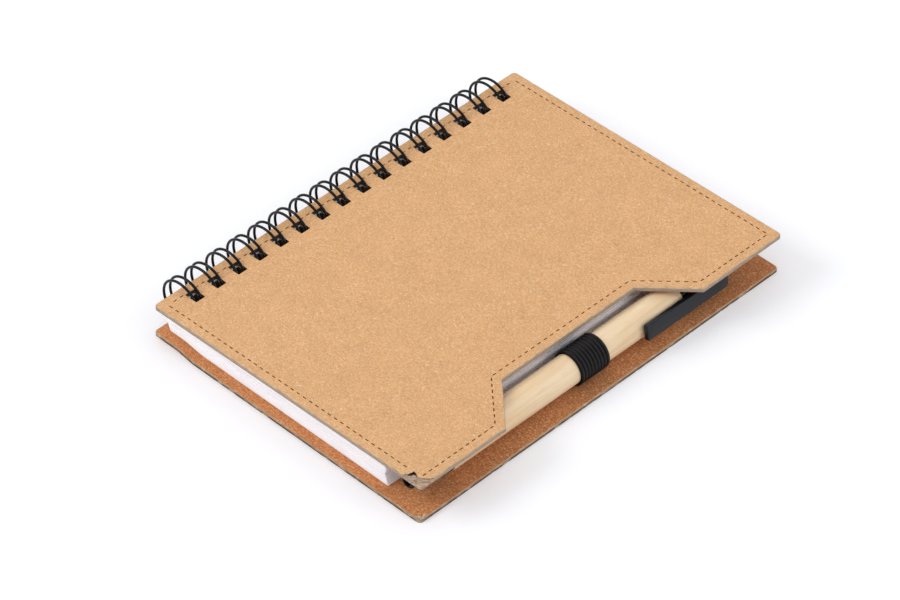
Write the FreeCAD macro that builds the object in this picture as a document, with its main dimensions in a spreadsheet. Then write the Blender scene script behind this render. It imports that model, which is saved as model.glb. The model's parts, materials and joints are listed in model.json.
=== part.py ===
import FreeCAD, Part
import math
import os

import Sketcher

# Spiral notebook, bound with a twin-loop wire, with a click pen held in an elastic loop.
# Row frame: the origin is the centre of the back cover's flat underside, X runs from the
# spine to the fore edge, Y along the spine from the bottom edge to the top, Z up.
# Millimetres and degrees. Each piece is drawn from the spine edge of its cover, at mid-length.

doc = FreeCAD.newDocument("spiral_notebook")
sheet = doc.addObject("Spreadsheet::Sheet", "sizes")

SIZES = [
    ("cover_width", 110.6, "covers, spine edge to fore edge"),
    ("cover_height", 149.5, "covers, along the spine"),
    ("cover_thickness", 1.4, "kraft board with a liner on each side"),
    ("cover_corner", 3.0, "radius of the covers' outer corners"),
    ("front_shift", 0.76, "how far the front cover sits towards the fore edge"),
    ("front_gap", 0.06, "front cover above the top leaf, at the spine"),
    ("lid_gap", 1.35, "front cover above the pen's barrel"),
    ("strip_clearance", 0.325, "back cover's bent spine strip above the wire"),
    ("strip_land", 0.8, "flat land between the back cover's holes and its bend"),
    ("strip_ramp", 9.5, "length over which the spine strip bends down"),
    ("notch_depth", 15.1, "notch in the front cover's fore edge"),
    ("notch_mouth", 81.9, "notch, along the fore edge"),
    ("notch_floor", 54.55, "notch, along its inner edge"),
    ("stitch_inset", 3.05, "stitch line inside the front cover's edges"),
    ("stitch_length", 1.35, "one debossed stitch"),
    ("stitch_width", 0.42, "one debossed stitch"),
    ("stitch_pitch", 2.4, "from one stitch to the next"),
    ("stitch_depth", 0.25, "how deep the stitches are pressed in"),
    ("stitches_a_hole", 3, "stitches in one hole pitch along the spine, some left out over the holes"),
    ("crush_along_bottom", 8.0, "crushed corner, along the bottom edge"),
    ("crush_along_fore", 6.0, "crushed corner, along the fore edge"),
    ("crush_depth", 1.1, "crushed corner, lost at its tip"),
    ("stack_height", 10.35, "leaves pressed together"),
    ("page_gap", 0.05, "leaves above the back cover"),
    ("page_edge", 2.6, "leaves' spine edge inside the back cover's"),
    ("page_inset", 3.5, "leaves' short edges inside the cover's"),
    ("page_corner", 2.0, "radius of the leaves' outer corners"),
    ("hole_pitch", 25.4 / 3, "three holes to the inch"),
    ("hole_count", 16, "punched holes and wire loops"),
    ("hole_play", 0.3, "wire to the hole's edge, across the spine"),
    ("hole_side_play", 0.125, "wire to the hole's edge, along the spine"),
    ("wire_diameter", 0.85, "binding wire"),
    ("pair_spacing", 2.5, "the two legs of one loop"),
    ("ring_play", 1.57, "wire's centreline beyond half the bound stack"),
    ("ring_axis_in", 1.5, "ring axis inside the back cover's spine edge"),
    ("ring_lift", 0.025, "lowest wire above the table"),
    ("root_bend", 1.0, "bend radius where a leg turns along the spine"),
    ("root_angle", -121.0, "ring angle at which the legs leave their roots"),
    ("tip_angle", -92.0, "ring angle at which the legs reach their closed tip"),
    ("pen_inset", 9.4, "pen axis inside the back cover's fore edge"),
    ("pen_start", 4.2, "pen's point inside the covers' bottom edge"),
    ("barrel_diameter", 9.75, "wooden barrel"),
    ("barrel_bore", 7.4, "barrel's bore, and the plastic spigots in it"),
    ("barrel_length", 94.3, "wooden barrel"),
    ("nose_length", 14.5, "nose cone outside the barrel"),
    ("nose_point", 3.4, "nose cone's diameter at its point"),
    ("nose_round", 0.6, "rounding of the point and of the shoulder"),
    ("nose_bore", 2.7, "hole that the writing tip comes out of"),
    ("spigot_length", 7.0, "plastic ends inside the barrel"),
    ("spring_bore", 5.0, "spring's chamber in the nose cone"),
    ("spring_seat", 6.5, "spring's seat from the point"),
    ("cap_length", 18.5, "clip cap outside the barrel"),
    ("cap_bore", 6.2, "clip cap's bore"),
    ("cap_wall", 1.5, "clip cap's end wall"),
    ("button_play", 0.15, "push button in the end wall, on the radius"),
    ("slide_play", 0.15, "sliding pieces in the cap's bore, on the radius"),
    ("button_diameter", 5.2, "push button"),
    ("button_reach", 9.5, "push button beyond the cap"),
    ("button_round", 0.8, "rounding of the button's end"),
    ("flange_length", 4.0, "push button's collar inside the cap"),
    ("cam_length", 6.0, "click cam between button and refill"),
    ("tip_set_back", 1.0, "writing tip inside the nose when clicked in"),
    ("tip_diameter", 2.3, "brass tip"),
    ("tip_point", 0.7, "brass tip at its ball"),
    ("tip_cone", 3.0, "brass tip's cone"),
    ("tip_length", 18.0, "brass tip in front of the ink tube"),
    ("tip_tail", 5.0, "brass tip pressed into the ink tube"),
    ("tube_diameter", 3.1, "ink tube"),
    ("tube_bore", 1.8, "ink tube"),
    ("crimp_diameter", 4.4, "collar on the ink tube that the spring pushes"),
    ("crimp_length", 0.8, "collar on the ink tube"),
    ("spring_diameter", 3.7, "return spring, wire centre to wire centre"),
    ("spring_wire", 0.45, "return spring's wire"),
    ("spring_turns", 7, "return spring"),
    ("clip_width", 5.2, "clip slab"),
    ("clip_thickness", 1.8, "clip slab"),
    ("clip_length", 36.0, "clip slab"),
    ("clip_gap", 0.45, "clip above the barrel"),
    ("clip_chamfer", 1.6, "clip's cut-off corners"),
    ("clip_turn", 8.0, "how far the clip is turned up from level"),
    ("loop_width", 11.6, "elastic loop, along the pen"),
    ("loop_base", 0.5, "elastic between its ribs"),
    ("loop_rib", 0.35, "height of the elastic's ribs"),
    ("loop_ribs", 9, "woven ribs"),
    ("loop_play", 0.1, "elastic to barrel"),
    ("loop_shift", 0.6, "loop above the covers' mid-length"),
    ("tail_depth", 0.7, "loop's ends set into the back cover"),
    ("tail_play", 0.05, "loop's ends in their slot"),
    ("pen_bay_gap", 1.675, "leaves to the elastic loop"),
]
for row, (alias, number, meaning) in enumerate(SIZES, start=1):
    sheet.set(f"A{row}", meaning)
    sheet.set(f"B{row}", str(number))
    sheet.setAlias(f"B{row}", alias)
doc.recompute()


TOUCHING = 1e-3


def value(expression):
    """The number that an expression on the sheet's values gives."""
    return float(sheet.evalExpression(expression))


def bind(item, **properties):
    """Bind properties to expressions; a double underscore stands for a dot."""
    for name, expression in properties.items():
        item.setExpression(name.replace("__", "."), expression)


# Heights and places that follow from the sizes, as expressions.
# Heights are above the table, distances across are from the back cover's spine edge.
SPINE = "(-sizes.cover_width / 2)"
STRIP_RAISE = "(sizes.ring_lift + sizes.wire_diameter + sizes.strip_clearance)"
STRIP_TOP = f"({STRIP_RAISE} + sizes.cover_thickness)"
PAGE_FLOOR = "(sizes.cover_thickness + sizes.page_gap)"
PAGE_TOP = f"({PAGE_FLOOR} + sizes.stack_height)"
FRONT_FLOOR = f"({PAGE_TOP} + sizes.front_gap)"
RING_RADIUS = f"(({FRONT_FLOOR} + sizes.cover_thickness - {STRIP_RAISE}) / 2 + sizes.ring_play)"
RING_HEIGHT = f"({RING_RADIUS} + sizes.wire_diameter / 2 + sizes.ring_lift)"
WIRE_OUTSIDE = f"({RING_RADIUS} + sizes.wire_diameter / 2)"
WIRE_INSIDE = f"({RING_RADIUS} - sizes.wire_diameter / 2)"
BARREL_RADIUS = "(sizes.barrel_diameter / 2)"
LOOP_THICKNESS = "(sizes.loop_base + sizes.loop_rib)"
LOOP_INSIDE = f"({BARREL_RADIUS} + sizes.loop_play)"
LOOP_OUTSIDE = f"({LOOP_INSIDE} + {LOOP_THICKNESS})"
PEN_ACROSS = "(sizes.cover_width - sizes.pen_inset)"
PEN_HEIGHT = f"(sizes.cover_thickness + {LOOP_OUTSIDE})"
PEN_FOOT = "(sizes.pen_start - sizes.cover_height / 2)"
PAGE_FORE = f"({PEN_ACROSS} - {LOOP_OUTSIDE} - sizes.pen_bay_gap)"
LID_HEIGHT = f"({PEN_HEIGHT} + {BARREL_RADIUS} + sizes.lid_gap)"
LID_RISE = f"({LID_HEIGHT} > {FRONT_FLOOR} ? {LID_HEIGHT} - {FRONT_FLOOR} : 0)"
FRONT_TILT = f"atan({LID_RISE} / ({PEN_ACROSS} - sizes.front_shift))"


def wire_across(radius, height):
    """Where a ring of this radius stands at a height, from the back cover's spine edge."""
    return f"(sizes.ring_axis_in + sqrt({radius}^2 - ({RING_HEIGHT} - {height})^2))"


COVER_HOLE_NEAR = f"({wire_across(WIRE_INSIDE, STRIP_RAISE)} - sizes.hole_play)"
BACK_HOLE_FAR = f"({wire_across(WIRE_OUTSIDE, STRIP_TOP)} + sizes.hole_play)"
FRONT_HOLE_FAR = (f"({wire_across(WIRE_OUTSIDE, FRONT_FLOOR)} + sizes.hole_play"
                  " - sizes.front_shift)")
PAGE_HOLE_NEAR = (f"({wire_across(WIRE_INSIDE, f'({STRIP_TOP} + sizes.page_gap)')}"
                  " - sizes.hole_play - sizes.page_edge)")
PAGE_HOLE_FAR = (f"(sizes.ring_axis_in + {WIRE_OUTSIDE} + sizes.hole_play - sizes.page_edge)")
STRIP_FLAT = f"({BACK_HOLE_FAR} + sizes.strip_land)"
STRIP_END = f"({STRIP_FLAT} + sizes.strip_ramp)"
HOLE_HALF = "(sizes.pair_spacing / 2 + sizes.wire_diameter / 2 + sizes.hole_side_play)"
FIRST_HOLE = "(-(sizes.hole_count - 1) / 2 * sizes.hole_pitch)"


def place(item, across, along, height):
    """Put a piece at its place in the row frame."""
    bind(item, Placement__Base__x=across, Placement__Base__y=along, Placement__Base__z=height)


def new_body(name):
    """A body with the label of its piece."""
    body = doc.addObject("PartDesign::Body", name)
    body.Label = name
    return body


def outline(body, name, role, corners):
    """A closed sketch on a plane of the body, each corner held by two bound distances."""
    sketch = body.newObject("Sketcher::SketchObject", name)
    plane = next(item for item in body.Origin.OriginFeatures if item.Role == role)
    sketch.AttachmentSupport = (plane, [""])
    sketch.MapMode = "FlatFace"
    points = [FreeCAD.Vector(value(u), value(v), 0) for u, v in corners]
    for start, end in zip(points, points[1:] + points[:1]):
        sketch.addGeometry(Part.LineSegment(start, end))
    for index, (u, v) in enumerate(corners):
        following = (index + 1) % len(corners)
        sketch.addConstraint(Sketcher.Constraint("Coincident", index, 2, following, 1))
        for kind, axis, expression, number in (("DistanceX", -2, u, points[index].x),
                                               ("DistanceY", -1, v, points[index].y)):
            if expression == "0":
                sketch.addConstraint(Sketcher.Constraint("PointOnObject", index, 1, axis))
                continue
            held = sketch.addConstraint(Sketcher.Constraint(kind, -1, 1, index, 1, number))
            sketch.setExpression(f"Constraints[{held}]", expression)
    return sketch


def round_corners(body, radius, corners):
    """Fillet the body's upright edges that stand at the given corners."""
    doc.recompute()
    solid = body.Tip
    names = []
    for index, edge in enumerate(solid.Shape.Edges, start=1):
        low, high = edge.Vertexes[0].Point, edge.Vertexes[-1].Point
        upright = math.hypot(high.x - low.x, high.y - low.y) < TOUCHING
        if upright and any(math.hypot(low.x - value(u), low.y - value(v)) < TOUCHING
                           for u, v in corners):
            names.append(f"Edge{index}")
    fillet = body.newObject("PartDesign::Fillet", f"{body.Name}_corners")
    fillet.Base = (solid, names)
    bind(fillet, Radius=radius)


def punch(body, near, far):
    """Cut the row of binding holes, from near to far across the spine."""
    sketch = outline(body, f"{body.Name}_hole", "XY_Plane", [
        (near, f"{FIRST_HOLE} - {HOLE_HALF}"), (far, f"{FIRST_HOLE} - {HOLE_HALF}"),
        (far, f"{FIRST_HOLE} + {HOLE_HALF}"), (near, f"{FIRST_HOLE} + {HOLE_HALF}")])
    pocket = body.newObject("PartDesign::Pocket", f"{body.Name}_first_hole")
    pocket.Profile = sketch
    pocket.Type = "ThroughAll"
    pocket.Reversed = True
    row_of_holes = body.newObject("PartDesign::LinearPattern", f"{body.Name}_holes")
    row_of_holes.Originals = [pocket]
    row_of_holes.Direction = (sketch, ["V_Axis"])
    row_of_holes.Mode = "Spacing"
    bind(row_of_holes, Offset="sizes.hole_pitch", Occurrences="sizes.hole_count")
    body.Tip = row_of_holes


def turned(name, corners):
    """A body turned round the pen's axis, from (radius, distance from the point) corners."""
    body = new_body(name)
    sketch = outline(body, f"{name}_profile", "XY_Plane", corners)
    revolution = body.newObject("PartDesign::Revolution", f"{name}_turned")
    revolution.Profile = sketch
    revolution.ReferenceAxis = (sketch, ["V_Axis"])
    revolution.Angle = 360
    return body


def on_pen_axis(item):
    """Put a piece that was turned round the pen's axis at its place."""
    place(item, f"{SPINE} + {PEN_ACROSS}", PEN_FOOT, PEN_HEIGHT)


pieces = []


# Back cover: board whose spine strip is bent up over the wire, so that the rest lies flat.
back_cover_body = new_body("back_cover_board")
back_profile = outline(back_cover_body, "back_cover_profile", "XZ_Plane", [
    ("0", STRIP_RAISE), (STRIP_FLAT, STRIP_RAISE), (STRIP_END, "0"),
    ("sizes.cover_width", "0"), ("sizes.cover_width", "sizes.cover_thickness"),
    (STRIP_END, "sizes.cover_thickness"), (STRIP_FLAT, STRIP_TOP), ("0", STRIP_TOP)])
back_pad = back_cover_body.newObject("PartDesign::Pad", "back_cover_pad")
back_pad.Profile = back_profile
back_pad.SideType = "Symmetric"
bind(back_pad, Length="sizes.cover_height")
HALF_HEIGHT = "(sizes.cover_height / 2)"
COVER_CORNERS = [("0", f"-{HALF_HEIGHT}"), ("sizes.cover_width", f"-{HALF_HEIGHT}"),
                 ("sizes.cover_width", HALF_HEIGHT), ("0", HALF_HEIGHT)]
round_corners(back_cover_body, "sizes.cover_corner", COVER_CORNERS)
punch(back_cover_body, COVER_HOLE_NEAR, BACK_HOLE_FAR)

TAIL_WIDTH = f"(2 * {LOOP_THICKNESS})"
tail_slot = doc.addObject("Part::Box", "tail_slot")
bind(tail_slot, Length=f"{TAIL_WIDTH} + 2 * sizes.tail_play",
     Width="sizes.loop_width + 2 * sizes.tail_play", Height="sizes.cover_thickness")
place(tail_slot, f"{PEN_ACROSS} - {TAIL_WIDTH} / 2 - sizes.tail_play",
      "sizes.loop_shift - sizes.loop_width / 2 - sizes.tail_play",
      "sizes.cover_thickness - sizes.tail_depth - sizes.tail_play")
back_cover = doc.addObject("Part::Cut", "back_cover")
back_cover.Base = back_cover_body
back_cover.Tool = tail_slot
place(back_cover, SPINE, "0", "0")
pieces.append(back_cover)


# Leaves: one block, its underside bent like the back cover, punched for the wire.
page_block = new_body("page_block")
PAGE_WIDTH = f"({PAGE_FORE} - sizes.page_edge)"
PAGE_STRIP = f"({STRIP_TOP} + sizes.page_gap)"
page_profile = outline(page_block, "page_profile", "XZ_Plane", [
    ("0", PAGE_STRIP), (f"{STRIP_FLAT} - sizes.page_edge", PAGE_STRIP),
    (f"{STRIP_END} - sizes.page_edge", PAGE_FLOOR), (PAGE_WIDTH, PAGE_FLOOR),
    (PAGE_WIDTH, PAGE_TOP), ("0", PAGE_TOP)])
page_pad = page_block.newObject("PartDesign::Pad", "page_pad")
page_pad.Profile = page_profile
page_pad.SideType = "Symmetric"
bind(page_pad, Length="sizes.cover_height - 2 * sizes.page_inset")
PAGE_HALF = "(sizes.cover_height / 2 - sizes.page_inset)"
round_corners(page_block, "sizes.page_corner",
              [(PAGE_WIDTH, f"-{PAGE_HALF}"), (PAGE_WIDTH, PAGE_HALF)])
punch(page_block, PAGE_HOLE_NEAR, PAGE_HOLE_FAR)
place(page_block, f"{SPINE} + sizes.page_edge", "0", "0")
pieces.append(page_block)


# Front cover: flat board with a notch that shows the pen, debossed stitches all round,
# and one corner crushed.
NOTCH_FLOOR_ACROSS = "(sizes.cover_width - sizes.notch_depth)"
FRONT_OUTLINE = [
    ("0", f"-{HALF_HEIGHT}"), ("sizes.cover_width", f"-{HALF_HEIGHT}"),
    ("sizes.cover_width", "-sizes.notch_mouth / 2"), (NOTCH_FLOOR_ACROSS, "-sizes.notch_floor / 2"),
    (NOTCH_FLOOR_ACROSS, "sizes.notch_floor / 2"), ("sizes.cover_width", "sizes.notch_mouth / 2"),
    ("sizes.cover_width", HALF_HEIGHT), ("0", HALF_HEIGHT)]
front_board = new_body("front_cover_board")
front_outline = outline(front_board, "front_cover_outline", "XY_Plane", FRONT_OUTLINE)
front_pad = front_board.newObject("PartDesign::Pad", "front_cover_pad")
front_pad.Profile = front_outline
bind(front_pad, Length="sizes.cover_thickness")
round_corners(front_board, "sizes.cover_corner", COVER_CORNERS)
punch(front_board, COVER_HOLE_NEAR, FRONT_HOLE_FAR)


def inset_corners(corners, distance):
    """Corners of the line that runs at one distance inside a closed outline."""
    moved = []
    for before, corner, after in zip(corners[-1:] + corners[:-1], corners,
                                     corners[1:] + corners[:1]):
        first = (corner - before).normalize()
        second = (after - corner).normalize()
        inward = FreeCAD.Vector(-first.y, first.x, 0) + FreeCAD.Vector(-second.y, second.x, 0)
        moved.append(corner + inward * (distance / (1 + first.dot(second))))
    return moved


def stitches():
    """Blocks that press the dashed stitch line into the front cover's face."""
    length = value("sizes.stitch_length")
    width = value("sizes.stitch_width")
    depth = value("sizes.stitch_depth")
    pitch = value("sizes.stitch_pitch")
    inset = value("sizes.stitch_inset")
    hole_pitch = value("sizes.hole_pitch")
    hole_reach = value(HOLE_HALF) + length / 2
    holes_end = value(f"-{FIRST_HOLE}") + hole_reach
    even_holes = int(value("sizes.hole_count")) % 2 == 0
    face = value("sizes.cover_thickness")
    corners = [FreeCAD.Vector(value(u), value(v), 0) for u, v in FRONT_OUTLINE]
    line = inset_corners(corners, inset)
    blocks = []
    for start, end in zip(line, line[1:] + line[:1]):
        run = end - start
        heading = (end - start).normalize()
        middle = (start + end) / 2
        beside_holes = max(start.x, end.x) < corners[0].x + inset + TOUCHING
        step = hole_pitch / value("sizes.stitches_a_hole") if beside_holes else pitch
        half_count = int((run.Length - length) / 2 / step)
        phase = 0.5 if beside_holes and even_holes else 0
        for index in range(-half_count - 1, half_count + 2):
            travel = index * step
            from_hole = (travel / hole_pitch + phase + 0.5) % 1 - 0.5
            over_hole = abs(from_hole * hole_pitch) < hole_reach and abs(travel) < holes_end
            if abs(travel) > (run.Length - length) / 2 or (beside_holes and over_hole):
                continue
            block = Part.makeBox(length, width, depth * 2,
                                 FreeCAD.Vector(-length / 2, -width / 2, face - depth))
            block.rotate(FreeCAD.Vector(), FreeCAD.Vector(0, 0, 1),
                         math.degrees(math.atan2(run.y, run.x)))
            block.translate(middle + heading * travel)
            blocks.append(block)
    return Part.makeCompound(blocks)


def crushed_corner():
    """The corner that is lost: from a line across the face down to the corner's tip."""
    tip = FreeCAD.Vector(value("sizes.cover_width"), value(f"-{HALF_HEIGHT}"), 0)
    face = value("sizes.cover_thickness")
    along_bottom = FreeCAD.Vector(-value("sizes.crush_along_bottom"), 0, face)
    along_fore = FreeCAD.Vector(0, value("sizes.crush_along_fore"), face)
    low = FreeCAD.Vector(0, 0, face - value("sizes.crush_depth"))
    slope = (along_bottom - low).cross(along_fore - low).normalize()
    if slope.z < 0:
        slope = slope * -1
    reach = 2 * along_bottom.Length
    block = Part.makeBox(2 * reach, 2 * reach, reach, FreeCAD.Vector(-reach, -reach, 0))
    block.Placement = FreeCAD.Placement(tip + low, FreeCAD.Rotation(FreeCAD.Vector(0, 0, 1), slope))
    return block


stitch_blocks = doc.addObject("Part::Feature", "stitch_blocks")
stitch_blocks.Shape = stitches()
corner_block = doc.addObject("Part::Feature", "corner_block")
corner_block.Shape = crushed_corner()
stitched_front = doc.addObject("Part::Cut", "stitched_front")
stitched_front.Base = front_board
stitched_front.Tool = stitch_blocks
front_cover = doc.addObject("Part::Cut", "front_cover")
front_cover.Base = stitched_front
front_cover.Tool = corner_block
front_cover.Placement = FreeCAD.Placement(
    FreeCAD.Vector(), FreeCAD.Rotation(FreeCAD.Vector(0, -1, 0), value(FRONT_TILT)))
bind(front_cover, Placement__Rotation__Angle=FRONT_TILT)
place(front_cover, f"{SPINE} + sizes.front_shift", "0", FRONT_FLOOR)
pieces.append(front_cover)


# Binding: one wire, bent into a comb of closed loops and curled round the ring axis.
def ring_point(angle, along):
    """A point on the ring, at an angle from the fore side and a distance along the spine."""
    radius = value(RING_RADIUS)
    return FreeCAD.Vector(value("sizes.ring_axis_in") + radius * math.cos(angle), along,
                          value(RING_HEIGHT) + radius * math.sin(angle))


def wire_centreline():
    """The wire's path: for each loop a leg, its tip, a leg back, and the run to the next."""
    root = math.radians(value("sizes.root_angle"))
    tip = math.radians(value("sizes.tip_angle"))
    half_turn = (root + tip) / 2 - math.pi
    half_pair = value("sizes.pair_spacing") / 2
    bend = value("sizes.root_bend")
    count = int(value("sizes.hole_count"))
    pitch = value("sizes.hole_pitch")
    first = value(FIRST_HOLE)
    along = FreeCAD.Vector(0, 1, 0)
    to_tip = FreeCAD.Vector(math.sin(tip), 0, -math.cos(tip))
    from_root = FreeCAD.Vector(-math.sin(root), 0, math.cos(root))
    diagonal = math.sqrt(0.5)
    edges = []
    for index in range(count):
        middle = first + index * pitch
        low, high = middle - half_pair, middle + half_pair
        edges.append(Part.Arc(ring_point(root, low), ring_point(half_turn, low),
                              ring_point(tip, low)).toShape())
        edges.append(Part.Arc(ring_point(tip, low), ring_point(tip, middle) + to_tip * half_pair,
                              ring_point(tip, high)).toShape())
        edges.append(Part.Arc(ring_point(tip, high), ring_point(half_turn, high),
                              ring_point(root, high)).toShape())
        if index == count - 1:
            break
        leaving = ring_point(root, high) + along * bend
        arriving = ring_point(root, middle + pitch - half_pair) - along * bend
        edges.append(Part.Arc(ring_point(root, high),
                              leaving + (from_root - along) * (bend * diagonal),
                              leaving + from_root * bend).toShape())
        edges.append(Part.LineSegment(leaving + from_root * bend,
                                      arriving + from_root * bend).toShape())
        edges.append(Part.Arc(arriving + from_root * bend,
                              arriving + (from_root + along) * (bend * diagonal),
                              ring_point(root, middle + pitch - half_pair)).toShape())
    return Part.Wire(edges)


wire_path = doc.addObject("Part::Feature", "wire_path")
wire_path.Shape = wire_centreline()
wire_section = doc.addObject("Part::Circle", "wire_section")
bind(wire_section, Radius="sizes.wire_diameter / 2")
root_angle = math.radians(value("sizes.root_angle"))
wire_section.Placement = FreeCAD.Placement(
    wire_path.Shape.Edges[0].Vertexes[0].Point,
    FreeCAD.Rotation(FreeCAD.Vector(0, 0, 1),
                     FreeCAD.Vector(math.sin(root_angle), 0, -math.cos(root_angle))))
wire_binding = doc.addObject("Part::Sweep", "wire_binding")
wire_binding.Sections = [wire_section]
wire_binding.Spine = (wire_path, [f"Edge{n + 1}" for n in range(len(wire_path.Shape.Edges))])
wire_binding.Solid = True
wire_binding.Frenet = False
place(wire_binding, SPINE, "0", "0")
pieces.append(wire_binding)


# Elastic loop: a ribbed band round the pen, its two ends set together into the back cover.
def ribbed_band():
    """A band turned round the pen's axis, with rounded ribs side by side along it."""
    inside = value(LOOP_INSIDE)
    valley = inside + value("sizes.loop_base")
    crest = valley + value("sizes.loop_rib")
    count = int(value("sizes.loop_ribs"))
    width = value("sizes.loop_width")
    rib = width / count
    start = -width / 2
    edges = [Part.LineSegment(FreeCAD.Vector(inside, -start, 0),
                              FreeCAD.Vector(inside, start, 0)).toShape(),
             Part.LineSegment(FreeCAD.Vector(inside, start, 0),
                              FreeCAD.Vector(valley, start, 0)).toShape()]
    for index in range(count):
        low = start + index * rib
        edges.append(Part.Arc(FreeCAD.Vector(valley, low, 0),
                              FreeCAD.Vector(crest, low + rib / 2, 0),
                              FreeCAD.Vector(valley, low + rib, 0)).toShape())
    edges.append(Part.LineSegment(FreeCAD.Vector(valley, -start, 0),
                                  FreeCAD.Vector(inside, -start, 0)).toShape())
    section = Part.Face(Part.Wire(edges))
    return section.revolve(FreeCAD.Vector(), FreeCAD.Vector(0, 1, 0), 360)


loop_band = doc.addObject("Part::Feature", "loop_band")
loop_band.Shape = ribbed_band()
place(loop_band, "0", "0", LOOP_OUTSIDE)
loop_tail = doc.addObject("Part::Box", "loop_tail")
bind(loop_tail, Length=TAIL_WIDTH, Width="sizes.loop_width",
     Height=f"sizes.tail_depth + {LOOP_THICKNESS} - sizes.loop_play")
place(loop_tail, f"-{TAIL_WIDTH} / 2", "-sizes.loop_width / 2", "-sizes.tail_depth")
elastic_loop = doc.addObject("Part::Fuse", "elastic_loop")
elastic_loop.Base = loop_band
elastic_loop.Tool = loop_tail
place(elastic_loop, f"{SPINE} + {PEN_ACROSS}", "sizes.loop_shift", "sizes.cover_thickness")
pieces.append(elastic_loop)


# Pen, drawn from its point: distances are along its axis, towards the push button.
BORE = "(sizes.barrel_bore / 2)"
BARREL_START = "sizes.nose_length"
BARREL_END = "(sizes.nose_length + sizes.barrel_length)"
CAP_END = f"({BARREL_END} + sizes.cap_length)"
FLANGE_END = f"({CAP_END} - sizes.cap_wall)"
FLANGE_START = f"({FLANGE_END} - sizes.flange_length)"
CAM_START = f"({FLANGE_START} - sizes.cam_length)"
TUBE_START = "(sizes.tip_set_back + sizes.tip_length)"
CAP_BORE = "(sizes.cap_bore / 2)"
SLIDING = f"({CAP_BORE} - sizes.slide_play)"

pen_barrel = turned("pen_barrel", [
    (BORE, BARREL_START), (BARREL_RADIUS, BARREL_START), (BARREL_RADIUS, BARREL_END),
    (BORE, BARREL_END)])
on_pen_axis(pen_barrel)
pieces.append(pen_barrel)

SHOULDER = f"({BARREL_RADIUS} - sizes.nose_round / 2)"
NOSE_SPIGOT = "(sizes.nose_length + sizes.spigot_length)"
pen_nose_cone = turned("pen_nose_cone", [
    ("sizes.nose_bore / 2", "0"), ("sizes.nose_point / 2", "0"),
    ("sizes.nose_point / 2 + sizes.nose_round", "sizes.nose_round"),
    (SHOULDER, BARREL_START), (BORE, BARREL_START), (BORE, NOSE_SPIGOT),
    ("sizes.spring_bore / 2", NOSE_SPIGOT), ("sizes.spring_bore / 2", "sizes.spring_seat"),
    ("sizes.nose_bore / 2", "sizes.spring_seat")])
on_pen_axis(pen_nose_cone)
pieces.append(pen_nose_cone)

# Clip cap: the cap, a spigot in the barrel, the clip slab and the bridge that carries it.
cap_body = turned("clip_cap_body", [
    (CAP_BORE, f"{BARREL_END} - sizes.spigot_length"), (BORE, f"{BARREL_END} - sizes.spigot_length"),
    (BORE, BARREL_END), (BARREL_RADIUS, BARREL_END), (BARREL_RADIUS, CAP_END),
    ("sizes.button_diameter / 2 + sizes.button_play", CAP_END),
    ("sizes.button_diameter / 2 + sizes.button_play", FLANGE_END), (CAP_BORE, FLANGE_END)])
CLIP_INSIDE = f"({BARREL_RADIUS} + sizes.clip_gap)"
clip_slab = new_body("clip_slab")
HALF_CLIP = "(sizes.clip_width / 2)"
clip_outline = outline(clip_slab, "clip_outline", "YZ_Plane", [
    (f"{CAP_END} - sizes.clip_length", f"-{HALF_CLIP}"),
    (f"{CAP_END} - sizes.clip_chamfer", f"-{HALF_CLIP}"),
    (CAP_END, f"-{HALF_CLIP} + sizes.clip_chamfer"), (CAP_END, HALF_CLIP),
    (f"{CAP_END} - sizes.clip_length", HALF_CLIP)])
clip_pad = clip_slab.newObject("PartDesign::Pad", "clip_pad")
clip_pad.Profile = clip_outline
bind(clip_pad, Length="sizes.clip_thickness")
place(clip_slab, CLIP_INSIDE, "0", "0")
clip_bridge = doc.addObject("Part::Box", "clip_bridge")
bind(clip_bridge, Length=f"sizes.clip_gap + {BARREL_RADIUS} - {BORE}",
     Width="sizes.cap_length - sizes.clip_chamfer",
     Height="sizes.clip_width - 2 * sizes.clip_chamfer")
place(clip_bridge, BORE, BARREL_END, f"-{HALF_CLIP} + sizes.clip_chamfer")
pen_clip_cap = doc.addObject("Part::MultiFuse", "pen_clip_cap")
pen_clip_cap.Shapes = [cap_body, clip_bridge, clip_slab]
pen_clip_cap.Placement = FreeCAD.Placement(
    FreeCAD.Vector(), FreeCAD.Rotation(FreeCAD.Vector(0, -1, 0), value("sizes.clip_turn")))
bind(pen_clip_cap, Placement__Rotation__Angle="sizes.clip_turn")
on_pen_axis(pen_clip_cap)
pieces.append(pen_clip_cap)

BUTTON_END = f"({CAP_END} + sizes.button_reach)"
pen_button = turned("pen_button", [
    ("0", FLANGE_START), (SLIDING, FLANGE_START), (SLIDING, FLANGE_END),
    ("sizes.button_diameter / 2", FLANGE_END),
    ("sizes.button_diameter / 2", f"{BUTTON_END} - sizes.button_round"),
    ("sizes.button_diameter / 2 - sizes.button_round", BUTTON_END), ("0", BUTTON_END)])
on_pen_axis(pen_button)
pieces.append(pen_button)

click_cam = turned("click_cam", [
    ("0", CAM_START), ("sizes.tube_diameter / 2 + sizes.slide_play", CAM_START),
    (SLIDING, f"{CAM_START} + sizes.cam_length / 3"), (SLIDING, FLANGE_START), ("0", FLANGE_START)])
on_pen_axis(click_cam)
pieces.append(click_cam)

refill_tube = turned("refill_tube", [
    ("sizes.tube_bore / 2", TUBE_START), ("sizes.crimp_diameter / 2", TUBE_START),
    ("sizes.crimp_diameter / 2", f"{TUBE_START} + sizes.crimp_length"),
    ("sizes.tube_diameter / 2", f"{TUBE_START} + sizes.crimp_length"),
    ("sizes.tube_diameter / 2", CAM_START), ("sizes.tube_bore / 2", CAM_START)])
on_pen_axis(refill_tube)
pieces.append(refill_tube)

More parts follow.
